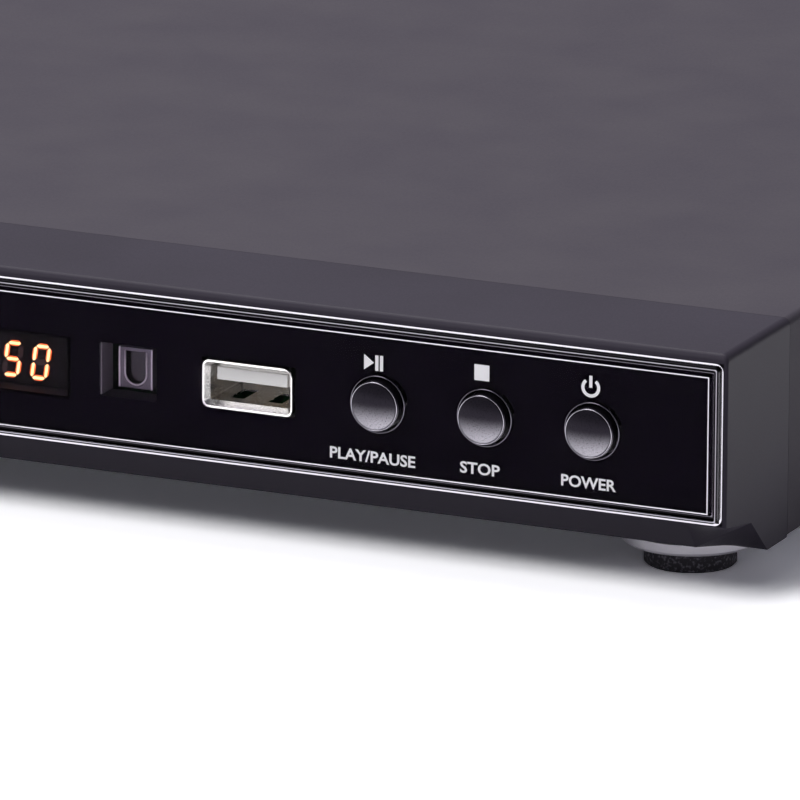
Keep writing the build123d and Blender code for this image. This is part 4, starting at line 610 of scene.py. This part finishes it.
def power_symbol(shape):
    """An open ring, spun from a short edge, and a bar in its gap."""
    x, z = 134.5, 30.85
    inner, outer, start, sweep = 0.98, 1.46, radians(52), radians(284)
    ends = [
        shape.verts.new(Vector((x + r * cos(start), FRONT, z + r * sin(start))) * MM)
        for r in (inner, outer)
    ]
    shape.edges.new(ends)
    bmesh.ops.spin(
        shape, geom=list(shape.verts) + list(shape.edges), cent=Vector((x, FRONT, z)) * MM,
        axis=(0, 1, 0), angle=sweep, steps=28,
    )
    thicken(shape, list(shape.faces), INK)
    ink_bar(shape, (x - 0.24, x + 0.24), (z, z + 1.75))


def open_symbol(shape):
    x, z, half = 7.5, 31.0, 1.3
    ink_face(shape, [(x - half, z - 0.45), (x + half, z - 0.45), (x, z + 1.2)])
    ink_bar(shape, (x - half, x + half), (z - 1.2, z - 0.75))


for symbol_name, maker in (
    ("symbol_play", play_symbol), ("symbol_stop", stop_symbol),
    ("symbol_power", power_symbol), ("symbol_open", open_symbol),
):
    piece(symbol_name, maker, white_ink, "case")

# ------------------------------------------------------------ display digits
# Slanted seven-segment digits, in mm; a = top, then clockwise, g = middle.
SEGMENTS = {"0": "abcdef", "1": "bc", "2": "abged", "3": "abgcd", "5": "afgcd"}
DIGITS = "12350"
DIGIT_PLACES = (26.1, 32.0, 36.5, 41.6, 46.1)
DIGIT_HEIGHT = 5.6
DIGIT_WIDTH = 3.0
DIGIT_SLANT = 0.15
STROKE = 0.8
SEGMENT_GAP = 0.14
SEGMENT_THICKNESS = 0.05
EDGE_LIFT, CORE_LIFT = 0.05, 0.12  # off the display's face; the core lies over the edge
CORE_SHARE = 0.5  # of the stroke's width
DIGIT_Y = FRONT + 3.98
DIGIT_Z = 23.3


def segment_corners(letter, stroke):
    """Six-sided outline of one segment, before the slant, from the digit's middle."""
    half_width, half_height = (DIGIT_WIDTH - STROKE) / 2, (DIGIT_HEIGHT - STROKE) / 2
    s = stroke / 2
    if letter in "adg":
        z = {"a": half_height, "d": -half_height, "g": 0.0}[letter]
        left, right = -half_width + SEGMENT_GAP, half_width - SEGMENT_GAP
        upper = [(left, z), (left + s, z + s), (right - s, z + s)]
        return [*upper, (right, z), (right - s, z - s), (left + s, z - s)]
    x = half_width if letter in "bc" else -half_width
    if letter in "bf":
        low, high = SEGMENT_GAP, half_height - SEGMENT_GAP
    else:
        low, high = -half_height + SEGMENT_GAP, -SEGMENT_GAP
    right_side = [(x, low), (x + s, low + s), (x + s, high - s)]
    return [*right_side, (x, high), (x - s, high - s), (x - s, low + s)]


def digit_maker(letters, middle_x, lift, stroke):
    """The given segments of one digit, lifted off the display's face."""
    def make(shape):
        for letter in letters:
            verts = []
            for x, z in segment_corners(letter, stroke):
                leaning = middle_x + x + z * DIGIT_SLANT
                verts.append(shape.verts.new(Vector((leaning, DIGIT_Y - lift, DIGIT_Z + z)) * MM))
            thicken(shape, [shape.faces.new(verts)], SEGMENT_THICKNESS)
    return make


for place, digit in zip(DIGIT_PLACES, DIGITS):
    index = str(int(round(place)))
    lit = SEGMENTS[digit]
    dark = [s for s in "abcdefg" if s not in lit]
    for part, segments, lift, stroke, finish in (
        ("edge", lit, EDGE_LIFT, STROKE, lit_edge),
        ("core", lit, CORE_LIFT, STROKE * CORE_SHARE, lit_core),
        ("dark", dark, EDGE_LIFT, STROKE, unlit_segment),
    ):
        if segments:
            maker = digit_maker(segments, place, lift, stroke)
            piece(f"digit_{part}_{index}", maker, finish, "case")


# ------------------------------------------------------------ faces and hairlines of the buttons
FLATTER = 0.03  # the lacquer's dome rises this much less than the cap's, so it lies on it all over
CROWN_GAP = 0.0002  # keeps the lacquer's crown inside the cap's own length
RING_SINK = 0.06  # a hairline's middle lies this far behind the face
CAP_RING = (DOME_HALF + 0.2, 0.09)  # radius and half its width
HOLE_RING = (HOLE_RADIUS + 0.04, 0.1)


def cap_face(x):
    """The lacquered dome of a cap: the crown of a sphere, cut off at its edge."""
    def make(shape):
        rise = DOME - FLATTER
        ball = (DOME_HALF**2 + rise**2) / (2 * rise)
        middle = Vector((x, CAP_FACE + CROWN_GAP + ball, BUTTON_Z)) * MM
        place = Matrix.Translation(middle) @ Matrix.Rotation(pi / 2, 4, "X")
        bmesh.ops.create_uvsphere(
            shape, u_segments=64, v_segments=128, radius=ball * MM, matrix=place
        )
        every = list(shape.verts) + list(shape.edges) + list(shape.faces)
        cut = Vector((x, CAP_FACE + rise, BUTTON_Z)) * MM
        bmesh.ops.bisect_plane(
            shape, geom=every, dist=1e-7, plane_co=cut, plane_no=(0, 1, 0), clear_outer=True
        )
    return make


for button, x in BUTTON_X.items():
    piece(f"{button}_cap_face", cap_face(x), painted_reflection_cap_paint, f"{button}_key", True)
    # The rings on the caps and round the holes are painted highlights.
    cap_ring = fine_ring(x, BUTTON_Z, CAP_FACE + DOME + RING_SINK, *CAP_RING)
    piece(f"{button}_cap_edge", cap_ring, cap_edge_painted_highlight, f"{button}_key", True)
    hole_ring = fine_ring(x, BUTTON_Z, FRONT + RING_SINK, *HOLE_RING)
    piece(f"{button}_hole_rim", hole_ring, hole_rim_painted_highlight, "case", True)


# ------------------------------------------------------------ the receiver behind its window
CAN_EDGES = {"left": (58.5, 58.75), "right": (63.65, 63.9)}
CAN_EDGE_DEPTH = (FRONT + 4.05, FRONT + 4.25)
CAN_EDGE_HEIGHT = (21.1, 27.1)
SIDE_WALL = ((56.65, 56.95), (LENS_BACK + 0.2, FRONT + 5.5), (20.3, 28.1))


def receiver_hole_edge(shape):
    """Painted highlight round the can's arched hole: a fine near-white section drawn down, round
    and up.
    """
    x, half, top, round_z, face, wire = 61.2, 1.7, 26.6, 23.3, FRONT + 4.2, 0.13
    start = Matrix.Translation(Vector((x - half, face, top)) * MM)
    section = bmesh.ops.create_circle(shape, segments=8, radius=wire * MM, matrix=start)["verts"]
    edges = list({edge for vert in section for edge in vert.link_edges})
    run = bmesh.ops.extrude_edge_only(shape, edges=edges)["geom"]
    lower = [v for v in run if isinstance(v, bmesh.types.BMVert)]
    bmesh.ops.translate(shape, verts=lower, vec=(0, 0, (round_z - top) * MM))
    rim = [e for e in run if isinstance(e, bmesh.types.BMEdge) and all(v in lower for v in e.verts)]
    turned = bmesh.ops.spin(
        shape, geom=[*lower, *rim], cent=Vector((x, face, round_z)) * MM, axis=(0, 1, 0),
        angle=-pi, steps=16,
    )["geom_last"]
    last = [e for e in turned if isinstance(e, bmesh.types.BMEdge)]
    run = bmesh.ops.extrude_edge_only(shape, edges=last)["geom"]
    upper = [v for v in run if isinstance(v, bmesh.types.BMVert)]
    bmesh.ops.translate(shape, verts=upper, vec=(0, 0, (top - round_z) * MM))
    bmesh.ops.holes_fill(shape, edges=[e for e in shape.edges if e.is_boundary], sides=0)


def thin_block(x, y, z):
    """A block between (low, high) pairs in mm, its edges broken by a fine bevel."""
    def make(shape):
        size = [(high - low) * MM for low, high in (x, y, z)]
        middle = [(low + high) / 2 * MM for low, high in (x, y, z)]
        place = Matrix.Translation(middle) @ Matrix.Diagonal((*size, 1.0))
        bmesh.ops.create_cube(shape, size=1.0, matrix=place)
        bmesh.ops.bevel(
            shape, geom=list(shape.edges), offset=min(size) / 5, affect="EDGES", segments=2,
            profile=0.5, material=-1,
        )
    return make


def screw_recess(x, z):
    """Painted shade in the cross recess of a rear screw: two dark bars that narrow to their ends.
    """
    length, depth, width, narrowing = 3.0, 0.04, 0.7, 0.55
    middle = Vector((x, REAR + SCREW_HEAD, z)) * MM

    def make(shape):
        for turn in (0.0, pi / 2):
            turned = Matrix.Rotation(turn, 4, "Y")
            place = Matrix.Translation(middle) @ turned
            size = Matrix.Diagonal((length * MM, depth * MM, width * MM, 1.0))
            bar = bmesh.ops.create_cube(shape, size=1.0, matrix=place @ size)["verts"]
            ends = [v for v in bar if abs((place.inverted() @ v.co).x) > 0.45 * length * MM]
            taper = turned @ Matrix.Diagonal((1.0, 1.0, narrowing, 1.0)) @ turned.inverted()
            bmesh.ops.transform(shape, matrix=taper, space=Matrix.Translation(-middle), verts=ends)
    return make


for count, x in enumerate(REAR_SCREW_X):
    recess = screw_recess(x, REAR_SCREW_Z)
    piece(f"rear_screw_recess_{count}", recess, painted_recess_shade, "case")


def panel_bevel(shape):
    """A bright strip round the edge of the clear panel: a painted highlight of the light on its
    bevel.
    """
    half_x, half_z, line, depth = 152.7, 10.1, 0.17, 0.04
    middle = Vector((0, FRONT - 0.01, PANEL_MIDDLE)) * MM
    place = Matrix.Translation(middle) @ Matrix.Rotation(pi / 2, 4, "X")
    place = place @ Matrix.Diagonal((half_x * MM, half_z * MM, 1.0, 1.0))
    bmesh.ops.create_grid(shape, x_segments=1, y_segments=1, size=1.0, matrix=place)
    bmesh.ops.inset_region(
        shape, faces=list(shape.faces), thickness=line * MM, use_boundary=True, use_even_offset=True
    )
    widest = max(shape.faces, key=lambda face: face.calc_area())
    bmesh.ops.delete(shape, geom=[widest], context="FACES_ONLY")
    thicken(shape, list(shape.faces), depth)


piece("panel_bevel", panel_bevel, bevel_painted_highlight, "case")
piece("receiver_hole_edge", receiver_hole_edge, can_edge_painted_highlight, "case", True)
for side, across in CAN_EDGES.items():
    edge = thin_block(across, CAN_EDGE_DEPTH, CAN_EDGE_HEIGHT)
    piece(f"receiver_can_edge_{side}", edge, can_edge_painted_highlight, "case")
piece("receiver_side_wall", thin_block(*SIDE_WALL), grey_abs, "case")


# ------------------------------------------------------------ floor, lamps and world
FLOOR_SIZE = 6.0  # metres
FLOOR_GAIN = 1.7  # the paper's brightness to the eye, so that it reads as white
SKY = (  # the studio's backdrop by height: pale at the horizon, dim overhead
    (0.0, "#bebec4"), (0.10, "#a9a9b0"), (0.40, "#66666d"), (1.0, "#56565c"),
)
LAMPS = (  # name, place, aim, size in metres, watts
    ("front_softbox", (-0.5, -1.1, 1.2), (0.05, 0.0, 0.02), 0.9, 17.0),
    ("top_softbox", (-0.5, 0.5, 1.4), (0.05, 0.0, 0.02), 1.2, 31.0),
)


def floor_and_light():
    shape = bmesh.new()
    bmesh.ops.create_grid(shape, x_segments=1, y_segments=1, size=FLOOR_SIZE)
    mesh = bpy.data.meshes.new("floor")
    shape.to_mesh(mesh)
    shape.free()
    floor = bpy.data.objects.new("floor", mesh)
    bpy.context.scene.collection.objects.link(floor)
    # Matt paper sweep: pale, keeps the contact shadow, and reads as white to the eye, and in
    # what a mirror or a clear sheet shows.
    paper = bpy.data.materials.new("matt_paper_sweep")
    paper.use_nodes = True
    tree = paper.node_tree
    tree.nodes.clear()
    path = add(tree, "ShaderNodeLightPath")
    pair = [(0, path, "Is Camera Ray"), (1, path, "Is Glossy Ray")]
    direct = add(tree, "ShaderNodeMath", {"operation": "MAXIMUM"}, {}, pair)
    pair = [(0, direct, "Value"), (1, path, "Is Transmission Ray")]
    direct = add(tree, "ShaderNodeMath", {"operation": "MAXIMUM"}, {}, pair)
    white = (FLOOR_GAIN, FLOOR_GAIN * 0.995, FLOOR_GAIN * 1.01, 1.0)
    tones = {MIX_A: linear("#a8a7aa"), MIX_B: white}
    tone = add(tree, "ShaderNodeMix", {"data_type": "RGBA"}, tones, [(0, direct, "Value")])
    sheet = add(tree, "ShaderNodeBsdfDiffuse", {}, {"Roughness": 0.6}, [("Color", tone, MIX_OUT)])
    add(tree, "ShaderNodeOutputMaterial", {}, {}, [("Surface", sheet, "BSDF")])
    mesh.materials.append(paper)

    world = bpy.data.worlds.new("studio")
    bpy.context.scene.world = world
    world.use_nodes = True
    tree = world.node_tree
    tree.nodes.clear()
    ray = add(tree, "ShaderNodeTexCoord")
    axes = add(tree, "ShaderNodeSeparateXYZ", {}, {}, [("Vector", ray, "Generated")])
    sky = add(tree, "ShaderNodeValToRGB", {}, {}, [("Fac", axes, "Z")])
    ramp = sky.color_ramp
    ramp.elements.remove(ramp.elements[1])
    ramp.elements[0].color = linear(SKY[0][1])
    for height, code in SKY[1:]:
        ramp.elements.new(height).color = linear(code)
    backdrop = add(tree, "ShaderNodeBackground", {}, {"Strength": 1.0}, [("Color", sky, "Color")])
    add(tree, "ShaderNodeOutputWorld", {}, {}, [("Surface", backdrop, "Background")])

    for name, spot, aim, size, power in LAMPS:
        data = bpy.data.lights.new(name, "AREA")
        data.shape = "SQUARE"
        data.size = size
        data.energy = power
        lamp = bpy.data.objects.new(name, data)
        bpy.context.scene.collection.objects.link(lamp)
        lamp.location = spot
        lamp.rotation_euler = (Vector(aim) - Vector(spot)).to_track_quat("-Z", "Y").to_euler()


floor_and_light()
bpy.context.scene.view_settings.view_transform = "Standard"
